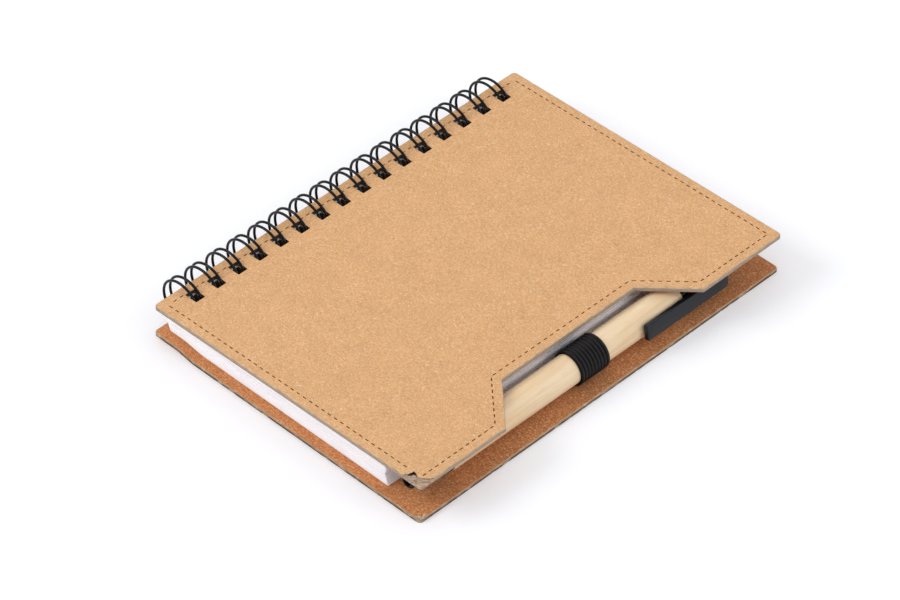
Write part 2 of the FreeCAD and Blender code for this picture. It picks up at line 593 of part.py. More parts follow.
refill_tip = turned("refill_tip", [
    ("0", "sizes.tip_set_back"), ("sizes.tip_point / 2", "sizes.tip_set_back"),
    ("sizes.tip_diameter / 2", "sizes.tip_set_back + sizes.tip_cone"),
    ("sizes.tip_diameter / 2", TUBE_START), ("sizes.tube_bore / 2", TUBE_START),
    ("sizes.tube_bore / 2", f"{TUBE_START} + sizes.tip_tail"), ("0", f"{TUBE_START} + sizes.tip_tail")])
on_pen_axis(refill_tip)
pieces.append(refill_tip)

# Return spring, between its seat in the nose cone and the collar on the ink tube.
spring_path = doc.addObject("Part::Helix", "spring_path")
SPRING_HEIGHT = f"({TUBE_START} - sizes.spring_seat - sizes.spring_wire)"
bind(spring_path, Radius="sizes.spring_diameter / 2", Height=SPRING_HEIGHT,
     Pitch=f"{SPRING_HEIGHT} / sizes.spring_turns")
spring_path.SegmentLength = 1
spring_section = doc.addObject("Part::Circle", "spring_section")
spring_section.Placement.Rotation = FreeCAD.Rotation(FreeCAD.Vector(1, 0, 0), 90)
bind(spring_section, Radius="sizes.spring_wire / 2",
     Placement__Base__x="sizes.spring_diameter / 2")
doc.recompute()
refill_spring = doc.addObject("Part::Sweep", "refill_spring")
refill_spring.Sections = [spring_section]
refill_spring.Spine = (spring_path, [])
refill_spring.Solid = True
refill_spring.Frenet = True
refill_spring.Placement = FreeCAD.Placement(
    FreeCAD.Vector(), FreeCAD.Rotation(FreeCAD.Vector(1, 0, 0), -90))
place(refill_spring, f"{SPINE} + {PEN_ACROSS}",
      f"{PEN_FOOT} + sizes.spring_seat + sizes.spring_wire / 2", PEN_HEIGHT)
pieces.append(refill_spring)


doc.recompute()
failed = [item.Name for item in doc.Objects
          if "Invalid" in item.State or "Error" in item.State]
if failed:
    raise RuntimeError(f"objects that did not compute: {failed}")
os.makedirs("parts", exist_ok=True)
for piece in pieces:
    shape = piece.Shape
    if shape.isNull() or not shape.isValid() or len(shape.Solids) != 1:
        raise RuntimeError(f"{piece.Name} is not one valid solid")
    piece.Label = piece.Name
    shape.exportStep(f"parts/{piece.Name}.step")
    print(piece.Name, round(shape.Volume, 2), [round(number, 2) for number in (
        shape.BoundBox.XMin, shape.BoundBox.XMax, shape.BoundBox.YMin, shape.BoundBox.YMax,
        shape.BoundBox.ZMin, shape.BoundBox.ZMax)])
wire_length = wire_path.Shape.Length
print("wire length", round(wire_length, 1), "volume by section times length",
      round(wire_length * math.pi * value("sizes.wire_diameter") ** 2 / 4, 1))
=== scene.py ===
import json
import math

import bmesh
import bpy
import numpy as np
from mathutils import Matrix, Vector
from mathutils.geometry import delaunay_2d_cdt


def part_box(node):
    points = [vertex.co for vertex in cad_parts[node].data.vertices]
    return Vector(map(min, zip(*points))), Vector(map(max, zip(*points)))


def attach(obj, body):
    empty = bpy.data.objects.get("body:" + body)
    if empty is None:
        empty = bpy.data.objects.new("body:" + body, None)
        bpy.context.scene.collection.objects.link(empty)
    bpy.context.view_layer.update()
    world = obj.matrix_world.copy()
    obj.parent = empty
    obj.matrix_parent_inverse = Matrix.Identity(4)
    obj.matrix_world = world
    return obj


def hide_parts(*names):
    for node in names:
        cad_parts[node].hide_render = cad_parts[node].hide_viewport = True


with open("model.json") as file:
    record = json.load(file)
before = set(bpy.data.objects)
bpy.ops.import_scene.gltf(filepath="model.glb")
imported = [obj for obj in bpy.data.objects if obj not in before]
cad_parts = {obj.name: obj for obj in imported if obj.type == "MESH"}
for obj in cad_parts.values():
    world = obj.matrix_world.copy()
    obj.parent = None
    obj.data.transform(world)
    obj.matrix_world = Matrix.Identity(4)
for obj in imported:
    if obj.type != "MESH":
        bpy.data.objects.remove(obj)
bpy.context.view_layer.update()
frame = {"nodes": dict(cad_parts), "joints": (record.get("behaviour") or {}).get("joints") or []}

# Camera: a long lens that looks down on the notebook's near corner, between its bottom
# edge and its fore edge.
mm = 0.001
camera_target = Vector((1.19, -8.73, 8.0)) * mm
camera_distance = 1433.6 * mm
camera_turn = math.radians(45.588)
camera_pitch = math.radians(42.166)
camera_roll = math.radians(-0.771)
camera = bpy.data.objects.new("camera", bpy.data.cameras.new("camera"))
camera.data.lens = 196.18
camera.matrix_world = (Matrix.Translation(camera_target) @ Matrix.Rotation(camera_turn, 4, "Z")
                       @ Matrix.Rotation(math.pi / 2 - camera_pitch, 4, "X")
                       @ Matrix.Rotation(camera_roll, 4, "Z")
                       @ Matrix.Translation((0, 0, camera_distance)))
bpy.context.scene.collection.objects.link(camera)
bpy.context.scene.camera = camera
bpy.context.scene.view_settings.view_transform = "Standard"


# Studio: a white table under an even white tent, with a large soft lamp on the left and a
# weaker one behind on the right, so that a pale shadow lies on both near sides.
def linear(colour):
    """An sRGB hex colour as the linear values that shaders take, with full alpha."""
    channels = np.array([int(colour[start:start + 2], 16) for start in (1, 3, 5)]) / 255
    bent = np.where(channels <= 0.04045, channels / 12.92, ((channels + 0.055) / 1.055) ** 2.4)
    return (*bent, 1.0)


def fit(tree, node, sockets):
    """Give each socket its value, or its link where that is a pair (node, output)."""
    for socket, value in sockets.items():
        if isinstance(value, tuple) and isinstance(value[0], bpy.types.Node):
            tree.links.new(value[0].outputs[value[1]], node.inputs[socket])
        else:
            node.inputs[socket].default_value = value


def add(tree, kind, sockets=None, stops=(), **settings):
    """Add a node: its settings, its colour stops, and its sockets' values and links."""
    node = tree.nodes.new("ShaderNode" + kind)
    for name, setting in settings.items():
        setattr(node, name, setting)
    fit(tree, node, sockets or {})
    for index, (place, colour) in enumerate(stops):
        stop = node.color_ramp.elements[index] if index < 2 else node.color_ramp.elements.new(place)
        stop.position = place
        stop.color = linear(colour)
    return node


def new_finish(name):
    """A new material, its node tree and its shader."""
    finish = bpy.data.materials.new(name)
    finish.use_nodes = True
    return finish, finish.node_tree, finish.node_tree.nodes["Principled BSDF"]


tent_level = 0.75
world = bpy.data.worlds.new("tent")
world.use_nodes = True
tent = world.node_tree
tent.nodes.clear()
seen = add(tent, "LightPath")
seen_or_mirrored = add(tent, "Math", {0: (seen, "Is Camera Ray"), 1: (seen, "Is Glossy Ray")},
                       operation="MAXIMUM")
shown = add(tent, "Math", {0: (seen_or_mirrored, 0), 1: (seen, "Is Transmission Ray")},
            operation="MAXIMUM")
lighting = add(tent, "Background", {"Color": linear("#fdfdff"), "Strength": tent_level})
backdrop = add(tent, "Background", {"Color": linear("#ffffff"), "Strength": 1.0})
mixed = add(tent, "MixShader", {0: (shown, 0), 1: (lighting, 0), 2: (backdrop, 0)})
add(tent, "OutputWorld", {"Surface": (mixed, 0)})
bpy.context.scene.world = world

for name, place, width, watts in (("main_lamp", Vector((-0.72, -0.85, 0.88)), 0.75, 6.5),
                                  ("fill_lamp", Vector((0.95, 0.45, 0.72)), 0.5, 2.3)):
    lamp = bpy.data.objects.new(name, bpy.data.lights.new(name, "AREA"))
    lamp.data.shape = "DISK"
    lamp.data.size = width
    lamp.data.energy = watts
    lamp.matrix_world = (Matrix.Translation(place)
                         @ (-place).to_track_quat("-Z", "Y").to_matrix().to_4x4())
    bpy.context.scene.collection.objects.link(lamp)

table_half = 3.0
table_lift = 0.185
table_mesh = bpy.data.meshes.new("table")
table_mesh.from_pydata([(-table_half, -table_half, 0), (table_half, -table_half, 0),
                        (table_half, table_half, 0), (-table_half, table_half, 0)],
                       [], [(0, 1, 2, 3)])
table = bpy.data.objects.new("table", table_mesh)
bpy.context.scene.collection.objects.link(table)
table_finish, tree, shader = new_finish("white_table")
path = add(tree, "LightPath")
seen_or_mirrored = add(tree, "Math", {0: (path, "Is Camera Ray"), 1: (path, "Is Glossy Ray")},
                       operation="MAXIMUM")
shown = add(tree, "Math", {0: (seen_or_mirrored, 0), 1: (path, "Is Transmission Ray")},
            operation="MAXIMUM")
# What the camera sees of the table is lifted, so that it runs out to white round the shadow.
lift = add(tree, "Math", {0: (shown, 0), 1: table_lift}, operation="MULTIPLY")
fit(tree, shader, {"Base Color": linear("#f0f1f4"), "Roughness": 0.9, "Specular IOR Level": 0.1,
                   "Emission Color": (1, 1, 1, 1), "Emission Strength": (lift, 0)})
table_mesh.materials.append(table_finish)


# Back cover: 1.4 mm kraft board with a brown liner inside and a tan one outside, cut by
# a die and punched with square holes. Its spine strip bends up over the wire.
back_low, back_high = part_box("back_cover")
cover_width = back_high.x - back_low.x
cover_height = back_high.y - back_low.y
cover_thickness = 1.4 * mm
cover_corner = 1.3 * mm
ring_axis = Vector(frame["joints"][0]["pos_m"])
wire_diameter = 0.85 * mm
ring_outside = ring_axis.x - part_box("wire_binding")[0].x
ring_inside = ring_outside - wire_diameter
hole_pitch = 25.4 / 3 * mm
hole_count = 16
hole_play = 0.3 * mm
hole_half = 1.8 * mm
hole_middles = (np.arange(hole_count) - (hole_count - 1) / 2) * hole_pitch
strip_raise = back_high.z - cover_thickness
strip_flat = 8.49 * mm
strip_ramp = 9.5 * mm
slot_half = np.array([0.9, 5.85]) * mm
slot_middle = np.array([101.2, 0.6]) * mm
slot_depth = 0.75 * mm
slot_corner = 0.1 * mm
hole_corner = 0.25 * mm
outline_step = 0.5 * mm
back_arris = 0.28 * mm
bend_grid = (12, 14)
fray_reach, fray_depth, fray_drop = 2.4 * mm, 1.5 * mm, 0.4 * mm
fray_rows = 4
edge_seed, fray_seed = 11, 21


def ring_reach(radius, height):
    """Distance from the ring axis, across, at which a circle of that radius has that height."""
    return math.sqrt(radius ** 2 - (ring_axis.z - height) ** 2)


def rounded_outline(corners, radii, step):
    """Closed outline: each corner is the arc of its radius that touches both sides, and
    arcs and sides are cut into equal lengths of about one step."""
    corners = np.asarray(corners, float)
    arcs = []
    for before, corner, after, radius in zip(np.roll(corners, 1, 0), corners,
                                             np.roll(corners, -1, 0), radii):
        back = (before - corner) / np.linalg.norm(before - corner)
        ahead = (after - corner) / np.linalg.norm(after - corner)
        half = math.acos(np.clip(back @ ahead, -1, 1)) / 2
        centre = corner + (back + ahead) / np.linalg.norm(back + ahead) * radius / math.sin(half)
        first = corner + back * radius / math.tan(half) - centre
        last = corner + ahead * radius / math.tan(half) - centre
        turn = math.atan2(first[0] * last[1] - first[1] * last[0], first @ last)
        count = max(2, math.ceil(abs(turn) * radius / step)) if radius > 0 else 0
        angles = math.atan2(first[1], first[0]) + np.linspace(0, turn, count + 1)
        arcs.append(centre + radius * np.stack([np.cos(angles), np.sin(angles)], 1))
    outline = []
    for arc, following in zip(arcs, arcs[1:] + arcs[:1]):
        side = following[0] - arc[-1]
        count = max(1, round(float(np.linalg.norm(side)) / step))
        outline.append(arc)
        outline.append(arc[-1] + side * np.linspace(0, 1, count + 1)[1:-1, None])
    return np.concatenate(outline)


def inward(outline):
    """Unit normals of a counterclockwise outline, pointing into it: the chord between each
    point's neighbours, turned a quarter to the left."""
    chord = np.roll(outline, -1, 0) - np.roll(outline, 1, 0)
    chord /= np.linalg.norm(chord, axis=1, keepdims=True)
    return np.stack([-chord[:, 1], chord[:, 0]], 1)


def wrapped_quads(count, rows, start=0, close_rows=False):
    """Faces of a grid that closes on itself along its first axis, and along its rows if asked."""
    along, row = np.meshgrid(np.arange(count), np.arange(rows if close_rows else rows - 1),
                             indexing="ij")
    along, row = along.ravel(), row.ravel()
    following, below = (along + 1) % count, (row + 1) % rows
    return start + np.stack([along * rows + row, following * rows + row,
                             following * rows + below, along * rows + below], 1)


def cap(loops, inner_points, start_ids):
    """Triangles between an outer loop and the loops cut out of it, by Delaunay's rule."""
    flat = [Vector(point) for point in np.concatenate([*loops, inner_points])]
    ends = np.cumsum([0] + [len(loop) for loop in loops]).tolist()
    polygons = [list(range(first, end)) for first, end in zip(ends, ends[1:])]
    found = delaunay_2d_cdt(flat, [], polygons, 0, 1e-9)
    ids = np.concatenate(start_ids)[[sources[0] for sources in found[3]]]
    return [ids[face] for face, sources in zip(found[2], found[5]) if sources == [0]]


def board(rim, holes, pits, low, high, inner_points=()):
    """Points and faces of a board with holes through it and pits pressed into its top face.
    rim is an array (along the outline, from the top face down the edge to the underside, 3).
    Each face comes with its kind: 0 top, 1 edge, 2 underside, 3 pit, 4 wall of a hole."""
    points = [rim.reshape(-1, 3)]
    faces = [(1, wrapped_quads(len(rim), rim.shape[1]))]
    top_loops, top_ids = [rim[:, 0, :2]], [np.arange(len(rim)) * rim.shape[1]]
    low_loops, low_ids = [rim[:, -1, :2]], [top_ids[0] + rim.shape[1] - 1]
    total = rim.shape[0] * rim.shape[1]
    for outline in holes:
        walls = np.stack([np.column_stack([outline, np.full(len(outline), height)])
                          for height in (high, low)], 1)
        points.append(walls.reshape(-1, 3))
        faces.append((4, wrapped_quads(len(outline), 2, total)))
        top_loops.append(outline)
        top_ids.append(total + np.arange(len(outline)) * 2)
        low_loops.append(outline)
        low_ids.append(total + np.arange(len(outline)) * 2 + 1)
        total += 2 * len(outline)
    # A pit's rows, from its rim down: their shares of its outline and of its depth.
    for outline, depth in pits:
        middle = outline.mean(0)
        rows = [np.column_stack([middle + (outline - middle) * share,
                                 np.full(len(outline), high - depth * down)])
                for share, down in ((1, 0), (0.86, 0.75), (0.6, 1))]
        points.append(np.stack(rows, 1).reshape(-1, 3))
        faces.append((3, wrapped_quads(len(outline), 3, total)))
        faces.append((3, [list(total + np.arange(len(outline)) * 3 + 2)]))
        top_loops.append(outline)
        top_ids.append(total + np.arange(len(outline)) * 3)
        total += 3 * len(outline)
    for kind, loops, ids, height in ((0, top_loops, top_ids, high), (2, low_loops, low_ids, low)):
        spare = np.asarray(inner_points, float).reshape(-1, 2)
        points.append(np.column_stack([spare, np.full(len(spare), height)]))
        ids.append(total + np.arange(len(spare)))
        total += len(spare)
        faces.append((kind, cap(loops, spare, ids)))
    return np.concatenate(points), faces


def piece(name, points, faces, body, nodes, finishes, sharp=35, edge_rows=None):
    """Put a mesh of points and kinds of faces on its body, in place of its solids. Edges carry
    UVs of the distance along the outline and the height, so that their layers follow the board."""
    mesh = bpy.data.meshes.new(name)
    polygons = [list(map(int, face)) for kind, group in faces for face in group]
    kinds = [kind for kind, group in faces for face in group]
    mesh.from_pydata(points.tolist(), [], polygons)
    mesh.polygons.foreach_set("material_index", kinds)
    if edge_rows is not None:
        uv = mesh.uv_layers.new(name="edge")
        corner = np.empty(len(mesh.loops), np.int32)
        mesh.loops.foreach_get("vertex_index", corner)
        uv.data.foreach_set("uv", edge_rows[corner].astype(np.float32).ravel())
    work = bmesh.new()
    work.from_mesh(mesh)
    bmesh.ops.remove_doubles(work, verts=work.verts, dist=1e-7)
    bmesh.ops.recalc_face_normals(work, faces=work.faces)
    work.to_mesh(mesh)
    work.free()
    for finish in finishes:
        mesh.materials.append(finish)
    mesh.polygons.foreach_set("use_smooth", np.ones(len(mesh.polygons), bool))
    mesh.set_sharp_from_angle(angle=math.radians(sharp))
    item = bpy.data.objects.new(name, mesh)
    bpy.context.scene.collection.objects.link(item)
    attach(item, body)
    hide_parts(*nodes)


def edge_measure(rim, points):
    """Distance along the outline and height of each point of a rim; the rest keep their place."""
    stretch = np.linalg.norm(np.roll(rim[:, 0], -1, 0) - rim[:, 0], axis=1)
    travelled = np.concatenate([[0], np.cumsum(stretch)[:-1]])
    measure = points[:, [0, 1]].copy()
    count = rim.shape[0] * rim.shape[1]
    measure[:count, 0] = np.repeat(travelled, rim.shape[1])
    measure[:, 1] = points[:, 2]
    return measure


def die_cut_rows(outline, normals, thickness, arris, seed):
    """Rim of die-cut board, from the top face to the underside. Each row has its height and its
    inset, both as shares: the die draws the top arris down and leaves the side nearly upright.
    Fibres then push each point in by a few hundredths of a millimetre."""
    heights = np.array([1, 0.97, 0.89, 0.8, 0.71, 0.62, 0.53, 0.44, 0.35, 0.26, 0.17, 0.09, 0.02, 0])
    heights *= thickness
    insets = np.array([1, 0.45, 0.12, 0, 0.02, 0, 0.04, 0, 0.02, 0.03, 0, 0.01, 0.1, 0.3]) * arris
    fibre_push = 0.018 * mm
    fibre = np.random.default_rng(seed).normal(0, 1, (len(outline), len(heights))) * fibre_push
    fibre[:, [0, -1]] = 0
    inset = insets + np.abs(fibre)
    rim = np.empty((len(outline), len(heights), 3))
    rim[:, :, :2] = outline[:, None] + normals[:, None] * inset[:, :, None]
    rim[:, :, 2] = heights
    return rim


def strip_rise(across):
    """Height by which the back board is bent up: level over the holes, then a smooth S down."""
    share = np.clip((across - strip_flat) / strip_ramp, 0, 1)
    return strip_raise * (1 - share * share * (3 - 2 * share))


def punched(near, far):
    """The row of punched holes, with corners a little rounded, from near to far across."""
    return [rounded_outline([(near, middle - hole_half), (far, middle - hole_half),
                             (far, middle + hole_half), (near, middle + hole_half)],
                            [hole_corner] * 4, hole_corner) for middle in hole_middles]


def kraft(name, base, light, dark, fleck_light, fleck_dark, painted_shadow_level, corner):
    """Unbleached kraft liner, pressed from recycled pulp: a dull tan, clouded in patches of
    6 mm, with pale and dark fibres. They are drawn 0.3 mm wide and 0.9 mm long, because real
    ones of 0.03 mm wouldn't show. Painted shade darkens it by the given level towards the fore
    edge, and by that level's square far from the corner, for the shadow of the front cover and
    the pen. Its pale core shows at the knocked corner."""
    finish, tree, shader = new_finish(name)
    place = add(tree, "TexCoord")
    cloud = add(tree, "TexNoise", {"Vector": (place, "Object"), "Scale": 0.18 / mm, "Detail": 3.0})
    pulp = add(tree, "TexNoise", {"Vector": (place, "Object"), "Scale": 1.9 / mm, "Detail": 4.0,
                                  "Roughness": 0.6})
    body = add(tree, "ValToRGB", {"Fac": (pulp, 0)},
               stops=((0.34, dark), (0.66, light), (0.5, base)))
    shade = add(tree, "MapRange", {"Value": (cloud, 0), 1: 0.3, 2: 0.7, 3: 0.955, 4: 1.045})
    sides = add(tree, "SeparateXYZ", {"Vector": (place, "Object")})
    away = add(tree, "VectorMath", {0: (place, "Object"), 1: corner}, operation="DISTANCE")
    # Painted shadow of the front cover and the pen: darker by the given level towards the fore edge,
    # and by its square farther from the corner.
    painted_shadow_deepening = add(tree, "MapRange", {"Value": (away, "Value"), 1: 8 * mm, 2: 26 * mm, 3: painted_shadow_level,
                                    4: painted_shadow_level ** 2})
    fore = add(tree, "MapRange", {"Value": (sides, 0), 1: 34 * mm, 2: 50 * mm, 3: 1.0,
                                  4: (painted_shadow_deepening, 0)})
    value = add(tree, "Math", {0: (shade, 0), 1: (fore, 0)}, operation="MULTIPLY")
    mottled = add(tree, "HueSaturation", {"Color": (body, 0), "Value": (value, 0)})
    colour = (mottled, 0)
    for turn, stretch, fineness, level, fibre in ((0.5, 3.0, 1.05 / mm, 0.67, fleck_light),
                                                  (-0.6, 2.4, 1.3 / mm, 0.67, fleck_dark),
                                                  (1.3, 3.2, 1.25 / mm, 0.67, fleck_light),
                                                  (2.2, 2.6, 1.1 / mm, 0.68, fleck_dark)):
        laid = add(tree, "Mapping", {"Vector": (place, "Object"), "Rotation": (0, 0, turn),
                                     "Scale": (1.0, stretch, stretch)})
        noise = add(tree, "TexNoise", {"Vector": (laid, 0), "Scale": fineness, "Detail": 1.0})
        chosen = add(tree, "MapRange", {"Value": (noise, 0), 1: level - 0.05, 2: level + 0.04,
                                        3: 0.0, 4: 0.7 if fibre == fleck_light else 0.45})
        mix = add(tree, "Mix", {0: (chosen, 0), 6: colour, 7: linear(fibre)}, data_type="RGBA")
        colour = (mix, 2)
    near = add(tree, "MapRange", {"Value": (away, "Value"), 1: 1.2 * mm, 2: 4.6 * mm,
                                  3: 0.3, 4: -0.3})
    torn = add(tree, "Math", {0: (pulp, 0), 1: (near, 0)}, operation="ADD")
    bare = add(tree, "MapRange", {"Value": (torn, 0), 1: 0.56, 2: 0.62, 3: 0.0, 4: 0.85})
    worn = add(tree, "Mix", {0: (bare, 0), 6: colour, 7: linear("#dcc5a8")}, data_type="RGBA")
    tooth = add(tree, "Bump", {"Height": (pulp, 0), "Strength": 0.35, "Distance": 0.03 * mm})
    dull = add(tree, "MapRange", {"Value": (pulp, 0), 1: 0.3, 2: 0.7, 3: 0.94, 4: 0.82})
    fit(tree, shader, {"Base Color": (worn, 2), "Normal": (tooth, 0), "Roughness": (dull, 0),
                       "Specular IOR Level": 0.25})
    return finish


def cut_board(name, stops, streak_dark, streak_light, core_dark, core_light, corner):
    """The cut edge of pressed board: thin liners top and bottom, a darker line where each is
    glued on, and grey-brown plies between, which the die has drawn out into streaks 0.2 mm
    high and 3 mm long. They wander by 0.06 mm. It is rubbed pale in patches of 1 to 3 mm, and
    its loose core shows at the knocked corner as fibres of 0.4 mm, coarser than real ones."""
    finish, tree, shader = new_finish(name)
    layer = add(tree, "UVMap", uv_map="edge")
    parts = add(tree, "SeparateXYZ", {"Vector": (layer, 0)})
    wander = add(tree, "TexNoise", {"Vector": (layer, 0), "Scale": 0.4 / mm, "Detail": 2.0})
    drift = add(tree, "MapRange", {"Value": (wander, 0), 1: 0.3, 2: 0.7, 3: -0.06 * mm,
                                   4: 0.06 * mm})
    level = add(tree, "Math", {0: (parts, 1), 1: (drift, 0)}, operation="ADD")
    share = add(tree, "MapRange", {"Value": (level, 0), 1: 0.0, 2: cover_thickness, 3: 0.0, 4: 1.0})
    ply = add(tree, "ValToRGB", {"Fac": (share, 0)}, stops=stops)
    drawn = add(tree, "Mapping", {"Vector": (layer, 0), "Scale": (0.07, 1.0, 1.0)})
    streak = add(tree, "TexNoise", {"Vector": (drawn, 0), "Scale": 5.2 / mm, "Detail": 3.0})
    tone = add(tree, "ValToRGB", {"Fac": (streak, 0)},
               stops=((0.36, streak_dark), (0.62, streak_light)))
    mixed = add(tree, "Mix", {0: 0.55, 6: (ply, 0), 7: (tone, 0)}, data_type="RGBA",
                blend_type="MULTIPLY")
    spots = add(tree, "Mapping", {"Vector": (layer, 0), "Scale": (0.35, 1.0, 1.0)})
    rub = add(tree, "TexNoise", {"Vector": (spots, 0), "Scale": 0.9 / mm, "Detail": 3.0})
    rubbed = add(tree, "MapRange", {"Value": (rub, 0), 1: 0.52, 2: 0.66, 3: 0.0, 4: 0.55})
    place = add(tree, "TexCoord")
    away = add(tree, "VectorMath", {0: (place, "Object"), 1: corner}, operation="DISTANCE")
    knocked = add(tree, "MapRange", {"Value": (away, "Value"), 1: 3.5 * mm, 2: 7.5 * mm,
                                     3: 0.85, 4: 0.0})
    pale = add(tree, "Math", {0: (rubbed, 0), 1: (knocked, 0)}, operation="MAXIMUM")
    combed = add(tree, "Mapping", {"Vector": (place, "Object"), "Rotation": (0, 0, 0.66),
                                   "Scale": (4.0, 1.0, 1.0)}, vector_type="TEXTURE")
    fluff = add(tree, "TexNoise", {"Vector": (combed, 0), "Scale": 2.3 / mm, "Detail": 3.0})
    core = add(tree, "ValToRGB", {"Fac": (fluff, 0)}, stops=((0.34, core_dark), (0.66, core_light)))
    worn = add(tree, "Mix", {0: (pale, 0), 6: (mixed, 2), 7: (core, 0)}, data_type="RGBA")
    rough = add(tree, "Bump", {"Height": (streak, 0), "Strength": 0.5, "Distance": 0.05 * mm})
    fit(tree, shader, {"Base Color": (worn, 2), "Normal": (rough, 0), "Roughness": 0.92,
                       "Specular IOR Level": 0.2})
    return finish


# The corners that were knocked. The back edge's lies outside the board, so that only its tip
# is bare.
near_corner = (back_high.x, back_low.y, cover_thickness)
front_corner = (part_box("front_cover")[1].x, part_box("front_cover")[0].y, 13.6 * mm)
back_tip = (58.2 * mm, -77.6 * mm, 1.4 * mm)
nowhere = (0.0, 0.0, -1.0)
outer_kraft = kraft("kraft_liner_outside", "#ddab79", "#e5b98a", "#d09e6b", "#f4d4ac", "#b67d4e",
                    1.0, nowhere)
# The inside liner gets painted shade, 0.87, towards the fore edge, where the front cover and the pen
# shade it.
inner_kraft = kraft("kraft_liner_inside", "#cc8753", "#dd9d6b", "#b56d3f", "#f0bd92", "#8c5029",
                    0.87, near_corner)
# Painted shade: walls deep in a hole, in board and leaves alike, take little light, so they are
# painted dark brown, in crumbs of 0.4 mm.
painted_shade_wall, tree, shader = new_finish("punched_wall_painted_shade")
place = add(tree, "TexCoord")
crumbs = add(tree, "TexNoise", {"Vector": (place, "Object"), "Scale": 2.4 / mm, "Detail": 2.0})
tone = add(tree, "ValToRGB", {"Fac": (crumbs, 0)}, stops=((0.35, "#3a2a20"), (0.65, "#6b5140")))
crumbled = add(tree, "Bump", {"Height": (crumbs, 0), "Strength": 0.5, "Distance": 0.05 * mm})
fit(tree, shader, {"Base Color": (tone, 0), "Normal": (crumbled, 0), "Roughness": 0.95})
front_edge = cut_board("cut_board_edge",
                       ((0.0, "#cdb08e"), (0.10, "#bfa68c"), (0.17, "#94806e"), (0.26, "#bcaa98"),
                        (0.50, "#ab9988"), (0.72, "#c6b5a2"), (0.82, "#a08c79"), (0.92, "#dcbd98")),
                       "#b4a89e", "#ffffff", "#7f6653", "#d0b59b", front_corner)
# The back board's edge is a copy in painted shade: darker all over than the front's, and darkest low
# down, for the contact shadow on the table.
back_edge_painted_shade = cut_board("cut_board_edge_in_shade",
                      ((0.0, "#7a624c"), (0.10, "#574537"), (0.30, "#625042"), (0.44, "#74604d"),
                       (0.54, "#8f7861"), (0.68, "#a8917a"), (0.80, "#bda084"), (0.94, "#cda37a")),
                      "#a0948a", "#ffffff", "#b0957a", "#f6e6d2", back_tip)

back_outline = rounded_outline(
    [(0, cover_height / 2), (0, -cover_height / 2), (cover_width, -cover_height / 2),
     (cover_width, cover_height / 2)], [cover_corner] * 4, outline_step)
back_normals = inward(back_outline)
back_rim = die_cut_rows(back_outline, back_normals, cover_thickness, back_arris, edge_seed)
from_corner = np.linalg.norm(back_outline - [cover_width, -cover_height / 2], axis=1) / fray_reach
chips = np.random.default_rng(fray_seed).uniform(0, 1, back_rim.shape[:2])
chips *= np.exp(-from_corner ** 2)[:, None]
chips *= np.linspace(1, 0, back_rim.shape[1])
back_rim[:, :, :2] += back_normals[:, None] * chips[:, :, None] * fray_depth
back_rim[:, :fray_rows, 2] -= chips[:, :1] * fray_drop
hole_near = (ring_axis.x - back_low.x) + ring_reach(ring_inside, strip_raise) - hole_play
back_hole_far = (ring_axis.x - back_low.x) + ring_reach(ring_outside, back_high.z) + hole_play
square = np.array([(-1, -1), (1, -1), (1, 1), (-1, 1)])
slot_outline = rounded_outline(slot_middle + slot_half * square, [slot_corner] * 4, outline_step)
bend_points = np.stack(np.meshgrid(
    strip_flat + strip_ramp * np.linspace(0, 1, bend_grid[0]),
    cover_height * np.linspace(-0.48, 0.48, bend_grid[1])), -1).reshape(-1, 2)
back_points, back_faces = board(back_rim, punched(hole_near, back_hole_far),
                                [(slot_outline, slot_depth)], 0.0, cover_thickness, bend_points)
back_measure = edge_measure(back_rim, back_points)
back_points[:, 2] += strip_rise(back_points[:, 0])
back_points[:, 0] += back_low.x
piece("back_cover_board", back_points, back_faces, "back", ["back_cover"],
      [inner_kraft, back_edge_painted_shade, outer_kraft, painted_shade_wall, painted_shade_wall],
      edge_rows=back_measure)


# Leaves: about a hundred sheets of white offset paper, trimmed in one cut and punched
# together. They have slipped a little over each other, so their edges show as fine lines.
page_low, page_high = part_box("page_block")
# A leaf is 0.1 mm thick. 60 lines are drawn for about a hundred, so that they show.
leaf_count = 60
leaf_slip = 0.07 * mm
page_corner, page_spine_corner = 0.3 * mm, 0.2 * mm
page_step = 1.6 * mm
page_setback = 2.6 * mm
groove_depth = 0.05 * mm
slip_seed = 5
page_width = page_high.x - page_low.x
page_length = page_high.y - page_low.y
page_gap = page_low.z - cover_thickness
# The leaves' holes are longer towards the spine than the covers', to clear the wire.
punch_wander = 1.2 * mm
page_outline = rounded_outline(
    [(0, page_length / 2), (0, -page_length / 2), (page_width, -page_length / 2),
     (page_width, page_length / 2)],
    [page_spine_corner, page_corner, page_corner, page_spine_corner], page_step)
slips = np.random.default_rng(slip_seed)
# How far the leaves have slid towards the fore edge, in mm, from the top leaf to the last.
slid = np.interp(np.linspace(0, 1, leaf_count), [0, 0.28, 0.31, 0.42, 0.45, 0.66, 0.7, 1],
                 [0.4, -0.45, -0.5, 0.0, -0.1, -0.6, -0.3, 0.7])
offsets = slips.uniform(-1, 1, (leaf_count, 2)) * leaf_slip
offsets[:, 0] += slid * mm
